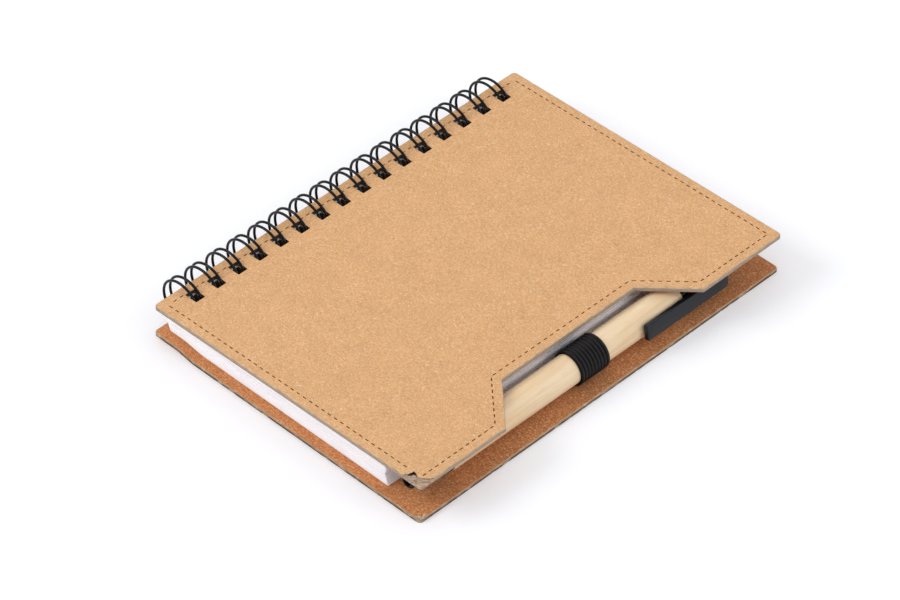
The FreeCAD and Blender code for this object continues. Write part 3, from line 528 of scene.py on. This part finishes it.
# Each leaf has two rows, the second cut back to a fine groove under it.
row = np.arange(2 * leaf_count)
row_share = 1 - np.clip((row + 0.25 * (-1.0) ** row) / (2 * leaf_count - 1), 0, 1)
row_share[0], row_share[-1] = 1, 0
groove = np.where(row % 2 == 0, 0.0, groove_depth)
page_normals = inward(page_outline)
page_rim = np.empty((len(page_outline), 2 * leaf_count, 3))
page_rim[:, :, :2] = (page_outline[:, None] + offsets[row // 2][None]
                      + page_normals[:, None] * groove[None, :, None])
page_rim[:, :, 2] = row_share * (page_high.z - page_low.z)
page_hole_near = (ring_axis.x - page_low.x) + ring_reach(
    ring_inside, back_high.z + page_gap) - hole_play - punch_wander
page_hole_far = (ring_axis.x - page_low.x) + ring_outside + hole_play
page_points, page_faces = board(page_rim, punched(page_hole_near, page_hole_far), [],
                                0.0, page_high.z - page_low.z, bend_points - [page_setback, 0])
page_measure = edge_measure(page_rim, page_points)
page_floor = page_low.z + strip_rise(page_points[:, 0] + page_low.x - back_low.x)
page_points[:, 2] = page_floor + (page_high.z - page_floor) * (
    page_points[:, 2] / (page_high.z - page_low.z))
page_points[:, 0] += page_low.x

# Offset paper: smooth and bright with a touch of blue, and no gloss. Its fibres are drawn
# 0.7 mm wide, coarser than real ones.
leaf_paper, tree, shader = new_finish("offset_paper")
place = add(tree, "TexCoord")
fibres = add(tree, "TexNoise", {"Vector": (place, "Object"), "Scale": 1.4 / mm, "Detail": 3.0})
tone = add(tree, "ValToRGB", {"Fac": (fibres, 0)}, stops=((0.35, "#f1f0f4"), (0.65, "#f9f9fb")))
tooth = add(tree, "Bump", {"Height": (fibres, 0), "Strength": 0.15, "Distance": 0.02 * mm})
fit(tree, shader, {"Base Color": (tone, 0), "Normal": (tooth, 0), "Roughness": 0.85,
                   "Specular IOR Level": 0.2})
# The stack's trimmed sides: lines 0.3 mm apart that run along the leaves.
trimmed_edges, tree, shader = new_finish("trimmed_paper_edges")
measure = add(tree, "UVMap", uv_map="edge")
drawn = add(tree, "Mapping", {"Vector": (measure, 0), "Scale": (0.02, 1.0, 1.0)})
lines = add(tree, "TexNoise", {"Vector": (drawn, 0), "Scale": 3.6 / mm, "Detail": 3.0})
tone = add(tree, "ValToRGB", {"Fac": (lines, 0)}, stops=((0.3, "#efedf3"), (0.5, "#fdfcfe")))
ragged = add(tree, "Bump", {"Height": (lines, 0), "Strength": 0.2, "Distance": 0.03 * mm})
fit(tree, shader, {"Base Color": (tone, 0), "Normal": (ragged, 0), "Roughness": 0.85,
                   "Specular IOR Level": 0.15})
piece("leaves", page_points, page_faces, "leaves", ["page_block"],
      [leaf_paper, trimmed_edges, leaf_paper, leaf_paper, painted_shade_wall], sharp=60,
      edge_rows=page_measure)


# Front cover: the same board the other way out, with a notch cut for the pen and a line
# of short debossed stitches round it. Its near corner has been dropped on: the top liner is
# torn back and the plies under it are crushed to a slope of loose fibres.
front_low, front_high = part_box("front_cover")
front_tilt = math.asin((front_high.z - front_low.z - cover_thickness) / cover_width)
notch_depth = 15.1 * mm
notch_mouth = 81.9 * mm
notch_floor = 54.55 * mm
stitch_inset = 3.05 * mm
stitch_half = np.array([0.675, 0.2]) * mm
stitch_pitch = 2.55 * mm
stitch_clear = 0.6 * mm
stitch_depth = 0.22 * mm
stitch_corner = 0.18 * mm
stitch_step = 0.25 * mm
stitch_from_tear = 0.68 * mm
front_corners = np.array([
    (0, cover_height / 2), (0, -cover_height / 2), (cover_width, -cover_height / 2),
    (cover_width, -notch_mouth / 2), (cover_width - notch_depth, -notch_floor / 2),
    (cover_width - notch_depth, notch_floor / 2), (cover_width, notch_mouth / 2),
    (cover_width, cover_height / 2)])
front_arris = 0.42 * mm
mouth_corner, floor_corner = 0.6 * mm, 0.4 * mm
front_edge_seed, tear_seed = 12, 3
front_outline = rounded_outline(
    front_corners, [cover_corner] * 3 + [mouth_corner, floor_corner, floor_corner, mouth_corner,
                                         cover_corner], outline_step)
front_normals = inward(front_outline)
front_rim = die_cut_rows(front_outline, front_normals, cover_thickness, front_arris,
                         front_edge_seed)

# The tear runs from the bottom edge to the fore edge. Its depths, in mm, tell how far the
# liner is torn back at each share of that run.
tear_along_bottom, tear_along_fore = 8.0 * mm, 6.2 * mm
tear_start = np.array([cover_width - tear_along_bottom, -cover_height / 2])
tear_end = np.array([cover_width, -cover_height / 2 + tear_along_fore])
tear_run = tear_end - tear_start
tear_inward = np.array([-tear_run[1], tear_run[0]]) / np.linalg.norm(tear_run)
tear_shares = [0, 0.11, 0.18, 0.24, 0.34, 0.41, 0.47, 0.56, 0.72, 0.87, 1]
tear_depths = [0, 0.95, 0.6, 1.2, 1.5, 1.0, -0.6, -1.0, -0.85, -0.5, 0]
tear_around = np.linspace(-0.05, 0.05, 7)
crack_place, crack_width = 0.31, 0.115
loose_fibre = 0.07 * mm
liner = 0.12 * mm
shelf_drop = 0.42 * mm
in_tear = (((front_outline - tear_start) @ tear_inward < 1e-6)
           & (front_outline[:, 0] > cover_width / 2) & (front_outline[:, 1] < 0))
torn = np.flatnonzero(in_tear)
share = np.linspace(0, 1, len(torn))
frays = np.random.default_rng(tear_seed)
jag = np.interp(share, tear_shares, tear_depths) * mm
jag += np.sin(np.pi * share) * frays.normal(0, 0.1, len(torn)) * mm
lip = tear_start + share[:, None] * tear_run + tear_inward * jag[:, None]
foot = front_outline[torn]
hollow = np.exp(-((share - crack_place) / crack_width) ** 2)[:, None]
fade = np.sin(np.pi * share)[:, None] ** 0.5


def with_crack(everywhere, in_crack):
    """A distance along the tear: its value everywhere plus what the hollow of the crack adds."""
    return (everywhere + in_crack * hollow) * mm


# Under the lip the liner's underside goes in, a pit comes back out to the shelf of bare plies,
# and the plies slope from there to the foot of the edge.
whole = front_rim[torn]
crushed = np.empty_like(whole)
shelf = lip - tear_inward * with_crack(0.15, 1.15) * fade
shelf_height = cover_thickness - shelf_drop
tip_height = (0.1 + 0.18 * (1 - fade)) * mm
for row, edge, below in (
        (0, lip, 0 * fade),
        (1, lip, liner * fade),
        (2, lip + tear_inward * with_crack(0.2, 0.6) * fade, with_crack(0.3, 0.65)),
        (3, lip - tear_inward * with_crack(0.05, 0.75) * fade, with_crack(0.36, 0.7))):
    crushed[:, row] = np.hstack([edge, cover_thickness - below])
slope = np.linspace(0, 1, whole.shape[1] - 5) ** 0.9
crushed[:, 4:-1, :2] = shelf[:, None] + (foot - shelf)[:, None] * slope[:, None]
crushed[:, 4:-1, 2] = shelf_height - (shelf_height - tip_height) * slope
crushed[:, 5:-1] += frays.normal(0, 1, (len(torn), len(slope) - 1, 3)) * loose_fibre * fade[:, None]
crushed[:, -1] = whole[:, -1]
front_rim[torn] = whole + (crushed - whole) * fade[:, None]
front_rim[:, :, 0] = np.minimum(front_rim[:, :, 0], cover_width)
front_rim[:, :, 1] = np.maximum(front_rim[:, :, 1], -cover_height / 2)


def stitch_line(corners, inset):
    """Dashes along the line at one inset inside the outline, spread evenly from corner to
    corner. Beside the binding holes they keep to the lands, two to each."""
    dashes = []
    sides = np.roll(corners, -1, 0) - corners
    headings = sides / np.linalg.norm(sides, axis=1, keepdims=True)
    inwards = np.stack([-headings[:, 1], headings[:, 0]], 1)
    before = np.roll(inwards, 1, 0)
    bends = 1 + np.sum(before * inwards, axis=1, keepdims=True)
    line = corners + (before + inwards) * inset / bends
    lands = np.append(hole_middles, hole_middles[-1] + hole_pitch) - hole_pitch / 2
    for start, end, heading in zip(line, np.roll(line, -1, 0), headings):
        length = np.linalg.norm(end - start)
        spine = start[0] < 2 * inset and end[0] < 2 * inset
        reach = length / 2 - stitch_half[0] - stitch_clear
        count = max(1, round(2 * reach / stitch_pitch))
        travels = np.linspace(-reach, reach, count + 1)
        if spine:
            travels = np.concatenate([lands - stitch_pitch / 2, lands + stitch_pitch / 2])
        side = np.array([-heading[1], heading[0]])
        for travel in travels:
            middle = (start + end) / 2 + heading * travel
            over = np.abs(hole_middles - middle[1]).min() < hole_half + stitch_half[0]
            if spine and over or abs(travel) > reach + stitch_clear / 2:
                continue
            along_tear = (middle - tear_start) @ tear_run / (tear_run @ tear_run)
            torn_by = np.interp(along_tear + tear_around, tear_shares, tear_depths).max() * mm
            beyond = (middle - tear_start) @ tear_inward - torn_by
            if beyond < stitch_from_tear and 0 < along_tear < 1:
                continue
            dash = rounded_outline(stitch_half * square, [stitch_corner] * 4, stitch_step)
            dashes.append((middle + dash[:, :1] * heading + dash[:, 1:] * side, stitch_depth))
    return dashes


front_origin = Vector((front_low.x + cover_thickness * math.sin(front_tilt), 0, front_low.z))
front_hole_far = (ring_axis.x - front_origin.x) + ring_reach(ring_outside, front_low.z) + hole_play
front_points, front_faces = board(front_rim, punched(hole_near, front_hole_far),
                                  stitch_line(front_corners, stitch_inset), 0.0, cover_thickness)
front_measure = edge_measure(front_rim, front_points)
rim_quads = front_faces[0][1]
column, row = np.divmod(np.arange(len(rim_quads)), front_rim.shape[1] - 1)
# The crack's pit, and the liner's underside all along the tear, get the painted shade of a hole's
# wall.
in_shade = np.isin(column, torn[hollow[:, 0] > 0.3]) & (row >= 1) & (row <= 3)
in_shade |= np.isin(column, torn[2:-3]) & (row == 1)
front_faces[0] = (1, rim_quads[~in_shade])
front_faces.append((4, rim_quads[in_shade]))
flat = front_points.copy()
front_points[:, 0] = (front_origin.x + flat[:, 0] * math.cos(front_tilt)
                      - flat[:, 2] * math.sin(front_tilt))
front_points[:, 2] = (front_origin.z + flat[:, 0] * math.sin(front_tilt)
                      + flat[:, 2] * math.cos(front_tilt))

# Debossed stitch: liner pressed down and scorched by the hot die, a dull red-brown in specks
# of 1 mm.
stitch_brown, tree, shader = new_finish("debossed_stitch")
place = add(tree, "TexCoord")
burn = add(tree, "TexNoise", {"Vector": (place, "Object"), "Scale": 0.9 / mm, "Detail": 2.0})
tone = add(tree, "ValToRGB", {"Fac": (burn, 0)}, stops=((0.35, "#6a3b1a"), (0.65, "#98602f")))
pressed = add(tree, "Bump", {"Height": (burn, 0), "Strength": 0.3, "Distance": 0.04 * mm})
fit(tree, shader, {"Base Color": (tone, 0), "Normal": (pressed, 0), "Roughness": 0.9})
piece("front_cover_board", front_points, front_faces, "front", ["front_cover"],
      [outer_kraft, front_edge, inner_kraft, stitch_brown, painted_shade_wall],
      edge_rows=front_measure)


# Binding: one steel wire with a glossy black nylon coat, bent into closed loops and curled
# shut through the holes. The shape is the wire's own, so it only gets its coat here.
def coat(node_name, finish):
    """Give its finish to a solid that keeps its own shape."""
    materials = frame["nodes"][node_name].data.materials
    materials.clear()
    materials.append(finish)


# Nylon coat: near black, with a soft gloss that scuffs have dulled in patches of 1.4 mm.
wire_coat, tree, shader = new_finish("nylon_coated_wire")
place = add(tree, "TexCoord")
scuff = add(tree, "TexNoise", {"Vector": (place, "Object"), "Scale": 0.7 / mm, "Detail": 2.0})
gloss = add(tree, "MapRange", {"Value": (scuff, 0), 1: 0.35, 2: 0.7, 3: 0.14, 4: 0.28})
orange_peel = add(tree, "Bump", {"Height": (scuff, 0), "Strength": 0.15, "Distance": 0.02 * mm})
fit(tree, shader, {"Roughness": (gloss, 0), "Normal": (orange_peel, 0),
                   "Base Color": linear("#080707"), "Specular IOR Level": 0.18})
coat("wire_binding", wire_coat)


# Elastic loop: black woven elastic with raised ribs, stretched round the pen, its two ends
# glued together into a slot in the back cover.
loop_low, loop_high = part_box("elastic_loop")
pen_axis = Vector(((loop_low.x + loop_high.x) / 2, 0, (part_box("pen_barrel")[0].z
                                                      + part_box("pen_barrel")[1].z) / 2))
loop_inside = 4.975 * mm
loop_base = 0.5 * mm
loop_rib = 0.35 * mm
loop_ribs = 9
points_on_rib = 10
weft_count = 120
points_on_weft = 6
rib_fullness = 0.55
weft_relief = 0.14
tail_half = 0.85 * mm
tail_corner = 0.2 * mm
tail_step = 0.6 * mm
tail_overlap = 0.1 * mm


def woven_band(low, high, ribs, turns):
    """A band round the pen: its radius is the base plus a half sine for each rib, filled out by
    a power under one. The weft threads stand out on it as a fine cosine ripple, which changes
    sides from one half rib to the next, as a plain weave does."""
    across = np.linspace(0, 1, ribs * points_on_rib + 1)
    rib = np.abs(np.sin(np.pi * ribs * across)) ** rib_fullness
    angle = np.linspace(0, 2 * np.pi, turns, endpoint=False)
    half_rib = np.floor(across * ribs * 2 * 0.999)
    ripple = 0.5 + 0.5 * np.cos(weft_count * angle)[:, None] * np.cos(np.pi * half_rib)[None]
    radius = loop_inside + loop_base + loop_rib * rib * (1 - weft_relief + weft_relief * ripple)
    outer = np.stack([radius, np.broadcast_to(low + (high - low) * across, radius.shape)], -1)
    inner = np.stack([np.full((turns, 2), loop_inside),
                      np.broadcast_to([high, low], (turns, 2))], -1)
    section = np.concatenate([outer, inner], 1)
    points = np.stack([pen_axis.x + section[..., 0] * np.sin(angle)[:, None], section[..., 1],
                       pen_axis.z + section[..., 0] * np.cos(angle)[:, None]], -1)
    return points


def together(*parts):
    """Several bodies' points and faces as one list of each."""
    points, faces, total = [], [], 0
    for part_points, part_faces in parts:
        points.append(part_points)
        faces += [(kind, [np.add(face, total) for face in group]) for kind, group in part_faces]
        total += len(part_points)
    return np.concatenate(points), faces


band = woven_band(loop_low.y, loop_high.y, loop_ribs, weft_count * points_on_weft)
band_faces = wrapped_quads(band.shape[0], band.shape[1], close_rows=True)
tail_low, tail_high = loop_low.z, pen_axis.z - loop_inside - tail_overlap
tail_outline = rounded_outline(
    [(pen_axis.x - tail_half, loop_low.y), (pen_axis.x + tail_half, loop_low.y),
     (pen_axis.x + tail_half, loop_high.y), (pen_axis.x - tail_half, loop_high.y)],
    [tail_corner] * 4, tail_step)
tail_rim = np.stack([np.column_stack([tail_outline, np.full(len(tail_outline), height)])
                     for height in (tail_high, tail_low)], 1)
tail_points, tail_faces = board(tail_rim, [], [], tail_low, tail_high)
# Woven rubber and polyester: dull black, with a painted highlight a little lighter on the crests
# of the ribs, under lint drawn 0.7 mm wide, coarser than real lint.
woven, tree, shader = new_finish("woven_elastic_rubber_and_polyester")
place = add(tree, "TexCoord")
lint = add(tree, "TexNoise", {"Vector": (place, "Object"), "Scale": 1.5 / mm, "Detail": 3.0})
parts = add(tree, "SeparateXYZ", {"Vector": (place, "Object")})
phase = add(tree, "MapRange", {"Value": (parts, 1), 1: loop_low.y, 2: loop_high.y, 3: 0.0,
                               4: loop_ribs * math.pi})
wave = add(tree, "Math", {0: (phase, 0)}, operation="SINE")
crest = add(tree, "Math", {0: (wave, 0)}, operation="ABSOLUTE")
fuzz = add(tree, "MapRange", {"Value": (lint, 0), 1: 0.3, 2: 0.7, 3: -0.12, 4: 0.12})
painted_crest_highlight = add(tree, "Math", {0: (crest, 0), 1: (fuzz, 0)}, operation="ADD")
# Painted highlight: the ramp turns the crests of the ribs dark grey.
tone = add(tree, "ValToRGB", {"Fac": (painted_crest_highlight, 0)}, stops=((0.72, "#030303"), (1.0, "#221f22")))
nap = add(tree, "Bump", {"Height": (lint, 0), "Strength": 0.2, "Distance": 0.03 * mm})
fit(tree, shader, {"Base Color": (tone, 0), "Normal": (nap, 0), "Roughness": 0.45,
                   "Specular IOR Level": 0.15})
elastic_points, elastic_faces = together(
    (band.reshape(-1, 3), [(0, band_faces)]),
    (tail_points, [(0, group) for kind, group in tail_faces]))
piece("elastic_band", elastic_points, elastic_faces, "back", ["elastic_loop"],
      [woven], sharp=80)


# Pen barrel: a turned tube of beech, plain and straight, under a thin satin lacquer. To the
# eye it is pale straw in bands 2.4 mm wide that run along the tube, with short brown pores
# drawn 0.4 mm wide, coarser than real ones.
pale_wood, tree, shader = new_finish("lacquered_beech")
place = add(tree, "TexCoord")
drawn = add(tree, "Mapping", {"Vector": (place, "Object"), "Scale": (1.0, 0.09, 1.0)})
grain = add(tree, "TexNoise", {"Vector": (drawn, 0), "Scale": 0.42 / mm, "Detail": 3.0,
                               "Distortion": 0.5})
tone = add(tree, "ValToRGB", {"Fac": (grain, 0)}, stops=((0.28, "#e6c598"), (0.7, "#f6dfbd")))
short = add(tree, "Mapping", {"Vector": (place, "Object"), "Scale": (1.0, 0.12, 1.0)})
pore = add(tree, "TexNoise", {"Vector": (short, 0), "Scale": 2.6 / mm, "Detail": 1.0})
fleck = add(tree, "MapRange", {"Value": (pore, 0), 1: 0.68, 2: 0.78, 3: 0.0, 4: 0.3})
mixed = add(tree, "Mix", {0: (fleck, 0), 6: (tone, 0), 7: linear("#b8935f")}, data_type="RGBA")
satin = add(tree, "MapRange", {"Value": (grain, 0), 1: 0.3, 2: 0.7, 3: 0.48, 4: 0.38})
open_grain = add(tree, "Bump", {"Height": (pore, 0), "Strength": 0.12, "Distance": 0.02 * mm})
fit(tree, shader, {"Base Color": (mixed, 2), "Roughness": (satin, 0), "Normal": (open_grain, 0),
                   "Specular IOR Level": 0.35})
coat("pen_barrel", pale_wood)


# Pen fittings: nose cone, clip cap with its flat clip, and push button, all moulded in black
# ABS. The nose and the cap are pressed into the barrel's ends by their spigots.
pen_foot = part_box("pen_nose_cone")[0].y
# Moulded ABS: black with a breath of blue and an even gloss, hazy in patches of 4 mm. The
# mould's spark grain is drawn 0.4 mm wide, coarser than the real 0.02 mm.
black_abs, tree, shader = new_finish("moulded_black_abs")
place = add(tree, "TexCoord")
haze = add(tree, "TexNoise", {"Vector": (place, "Object"), "Scale": 0.26 / mm, "Detail": 3.0})
gloss = add(tree, "MapRange", {"Value": (haze, 0), 1: 0.3, 2: 0.7, 3: 0.16, 4: 0.28})
spark = add(tree, "TexNoise", {"Vector": (place, "Object"), "Scale": 2.8 / mm, "Detail": 2.0})
skin = add(tree, "Bump", {"Height": (spark, 0), "Strength": 0.08, "Distance": 0.01 * mm})
fit(tree, shader, {"Roughness": (gloss, 0), "Normal": (skin, 0), "Base Color": linear("#0f1218"),
                   "Specular IOR Level": 0.28})


def lathe(profile, steps):
    """A closed profile of (radius, distance from the pen's point) turned round the pen's axis."""
    angle = np.linspace(0, 2 * np.pi, steps, endpoint=False)
    radius, travel = profile[:, 0], profile[:, 1]
    points = np.stack([pen_axis.x + radius * np.sin(angle)[:, None],
                       np.broadcast_to(pen_foot + travel, (steps, len(profile))),
                       pen_axis.z + radius * np.cos(angle)[:, None]], -1)
    return points.reshape(-1, 3), wrapped_quads(steps, len(profile), close_rows=True)


# Sizes of the pen from here on are plain mm, and corner radii follow the corners' order.
nose_length, shoulder_radius = 14.5, 4.75
nose_waist = (3.35, 5.6)
point_bore, point_radius, bore_length = 1.35, 2.3, 6.5
spigot_radius, spigot_bore, spigot_length = 3.7, 2.5, 7.0
turned_steps, button_steps = 96, 72
profile_step = 0.3 * mm
nose_step = 0.35 * mm
nose_profile = rounded_outline(np.array([
    (point_bore, bore_length), (point_bore, 0), (point_radius, 0), nose_waist,
    (shoulder_radius, nose_length), (spigot_radius, nose_length),
    (spigot_radius, nose_length + spigot_length), (spigot_bore, nose_length + spigot_length),
    (spigot_bore, bore_length)]) * mm,
    np.array([0.1, 0.25, 0.95, 30.0, 0.3, 0.1, 0.2, 0.2, 0.2]) * mm, nose_step)
nose_points, nose_faces = lathe(nose_profile, turned_steps)
piece("nose_cone", nose_points, [(0, nose_faces)], "pen", ["pen_nose_cone"],
      [black_abs])

# Two of the cap's runs are a whole number and a half of steps long, so the number of rings
# hangs on the order of these sums.
cap_length, cap_radius, cap_bore = 18.5, 4.875, 3.1
lip_thickness, lip_radius = 1.5, 2.75
barrel_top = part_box("pen_barrel")[1].y - pen_foot
barrel_end, cap_end = barrel_top / mm, (barrel_top + cap_length * mm) / mm
cap_profile = rounded_outline(np.array([
    (cap_bore, barrel_end - spigot_length), (spigot_radius, barrel_end - spigot_length),
    (spigot_radius, barrel_end), (cap_radius, barrel_end), (cap_radius, cap_end),
    (lip_radius, cap_end), (lip_radius, cap_end - lip_thickness),
    (cap_bore, cap_end - lip_thickness)]) * mm,
    np.array([0.1, 0.1, 0.05, 0.15, 0.5, 0.2, 0.05, 0.05]) * mm, profile_step)
cap_points, cap_faces = lathe(cap_profile, turned_steps)

clip_turn = math.radians(8.0)
clip_reach, clip_setback, bridge_setback = 36, 1.6, 3.2
clip_start, clip_tip = cap_end - clip_reach, cap_end - clip_setback
clip_half, clip_bevel = 2.6, 1.0
clip_near, clip_far, clip_arris = 5.325 * mm, 7.125 * mm, 0.34 * mm
bridge_tip, bridge_half = cap_end - bridge_setback, 1.0
bridge_near, bridge_far, bridge_arris = 4.2 * mm, 5.4 * mm, 0.05 * mm
clip_step = 0.4 * mm


def clip_block(corners, radii, near, far, arris):
    """A flat moulded block: its outline is drawn along the pen and across the clip, and its
    arrises are rounded. near and far are its faces' distances from the pen's axis."""
    outline = rounded_outline(np.array(corners) * mm, np.array(radii) * mm, clip_step)
    normals = inward(outline)
    turn = np.linspace(0, np.pi / 2, 5)
    insets = np.concatenate([arris * (1 - np.sin(turn)), arris * (1 - np.cos(turn))])
    heights = np.concatenate([far - arris * (1 - np.cos(turn)), near + arris * (1 - np.sin(turn))])
    rim = np.empty((len(outline), len(insets), 3))
    rim[:, :, :2] = outline[:, None] + normals[:, None] * insets[None, :, None]
    rim[:, :, 2] = heights
    points, faces = board(rim, [], [], near, far)
    out, across = points[:, 2], points[:, 1]
    placed = np.stack([pen_axis.x + out * math.cos(clip_turn) - across * math.sin(clip_turn),
                       pen_foot + points[:, 0],
                       pen_axis.z + out * math.sin(clip_turn) + across * math.cos(clip_turn)], 1)
    return placed, [(0, group) for kind, group in faces]


clip_points, clip_faces = clip_block(
    [(clip_start, -clip_half), (clip_tip - clip_bevel, -clip_half),
     (clip_tip, clip_bevel - clip_half), (clip_tip, clip_half), (clip_start, clip_half)],
    [0.4, 0.4, 0.4, 0.5, 0.4], clip_near, clip_far, clip_arris)
bridge_points, bridge_faces = clip_block(
    [(barrel_end, -bridge_half), (bridge_tip, -bridge_half), (bridge_tip, bridge_half),
     (barrel_end, bridge_half)], [0.1] * 4, bridge_near, bridge_far, bridge_arris)
cap_all, cap_all_faces = together((cap_points, [(0, cap_faces)]), (clip_points, clip_faces),
                                  (bridge_points, bridge_faces))
piece("clip_cap", cap_all, cap_all_faces, "pen", ["pen_clip_cap"],
      [black_abs], sharp=40)

button_radius, flange_radius, flange_length = 2.6, 2.95, 4.0
axis_gap = 0.001
flange_end = cap_end - lip_thickness
button_end = (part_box("pen_button")[1].y - pen_foot) / mm
button_profile = rounded_outline(np.array([
    (axis_gap, flange_end - flange_length), (flange_radius, flange_end - flange_length),
    (flange_radius, flange_end), (button_radius, flange_end), (button_radius, button_end),
    (axis_gap, button_end)]) * mm, np.array([0, 0.1, 0.05, 0.05, 0.9, 0]) * mm, profile_step)
button_points, button_faces = lathe(button_profile, button_steps)
piece("push_button", button_points, [(0, button_faces)], "push", ["pen_button"],
      [black_abs])
coat("click_cam", black_abs)


# Refill: a clear polypropylene ink tube with a brass writing tip pressed into it, pushed
# back by a small spring of drawn steel wire.
ink_level = 19 * mm
# Polypropylene: smooth and milky where it is empty, blue-black where the ink stands.
ink_tube, tree, shader = new_finish("polypropylene_ink_tube")
place = add(tree, "TexCoord")
parts = add(tree, "SeparateXYZ", {"Vector": (place, "Object")})
fill = add(tree, "MapRange", {"Value": (parts, 1), 1: ink_level - mm, 2: ink_level + mm,
                              3: 0.0, 4: 1.0})
tone = add(tree, "ValToRGB", {"Fac": (fill, 0)}, stops=((0.2, "#1b1c2a"), (0.8, "#d9dde0")))
drawn = add(tree, "TexNoise", {"Vector": (place, "Object"), "Scale": 0.9 / mm, "Detail": 2.0})
gloss = add(tree, "MapRange", {"Value": (drawn, 0), 1: 0.3, 2: 0.7, 3: 0.2, 4: 0.32})
fit(tree, shader, {"Base Color": (tone, 0), "Roughness": (gloss, 0)})
# Turned brass: yellow, with a gloss broken by the tool's marks, drawn 0.5 mm wide.
tip_brass, tree, shader = new_finish("turned_brass")
place = add(tree, "TexCoord")
rings = add(tree, "TexNoise", {"Vector": (place, "Object"), "Scale": 2.2 / mm, "Detail": 1.0})
gloss = add(tree, "MapRange", {"Value": (rings, 0), 1: 0.3, 2: 0.7, 3: 0.2, 4: 0.38})
tool_marks = add(tree, "Bump", {"Height": (rings, 0), "Strength": 0.1, "Distance": 0.01 * mm})
fit(tree, shader, {"Roughness": (gloss, 0), "Normal": (tool_marks, 0),
                   "Base Color": linear("#cda75c"), "Metallic": 1.0})
# Drawn steel: cool grey, a little duller along the marks of the die, drawn 0.6 mm wide.
spring_steel, tree, shader = new_finish("drawn_spring_steel")
place = add(tree, "TexCoord")
draw = add(tree, "TexNoise", {"Vector": (place, "Object"), "Scale": 1.8 / mm, "Detail": 1.0})
gloss = add(tree, "MapRange", {"Value": (draw, 0), 1: 0.3, 2: 0.7, 3: 0.22, 4: 0.4})
die_lines = add(tree, "Bump", {"Height": (draw, 0), "Strength": 0.1, "Distance": 0.01 * mm})
fit(tree, shader, {"Roughness": (gloss, 0), "Normal": (die_lines, 0),
                   "Base Color": linear("#c4c5c8"), "Metallic": 1.0})
coat("refill_tube", ink_tube)
coat("refill_tip", tip_brass)
coat("refill_spring", spring_steel)
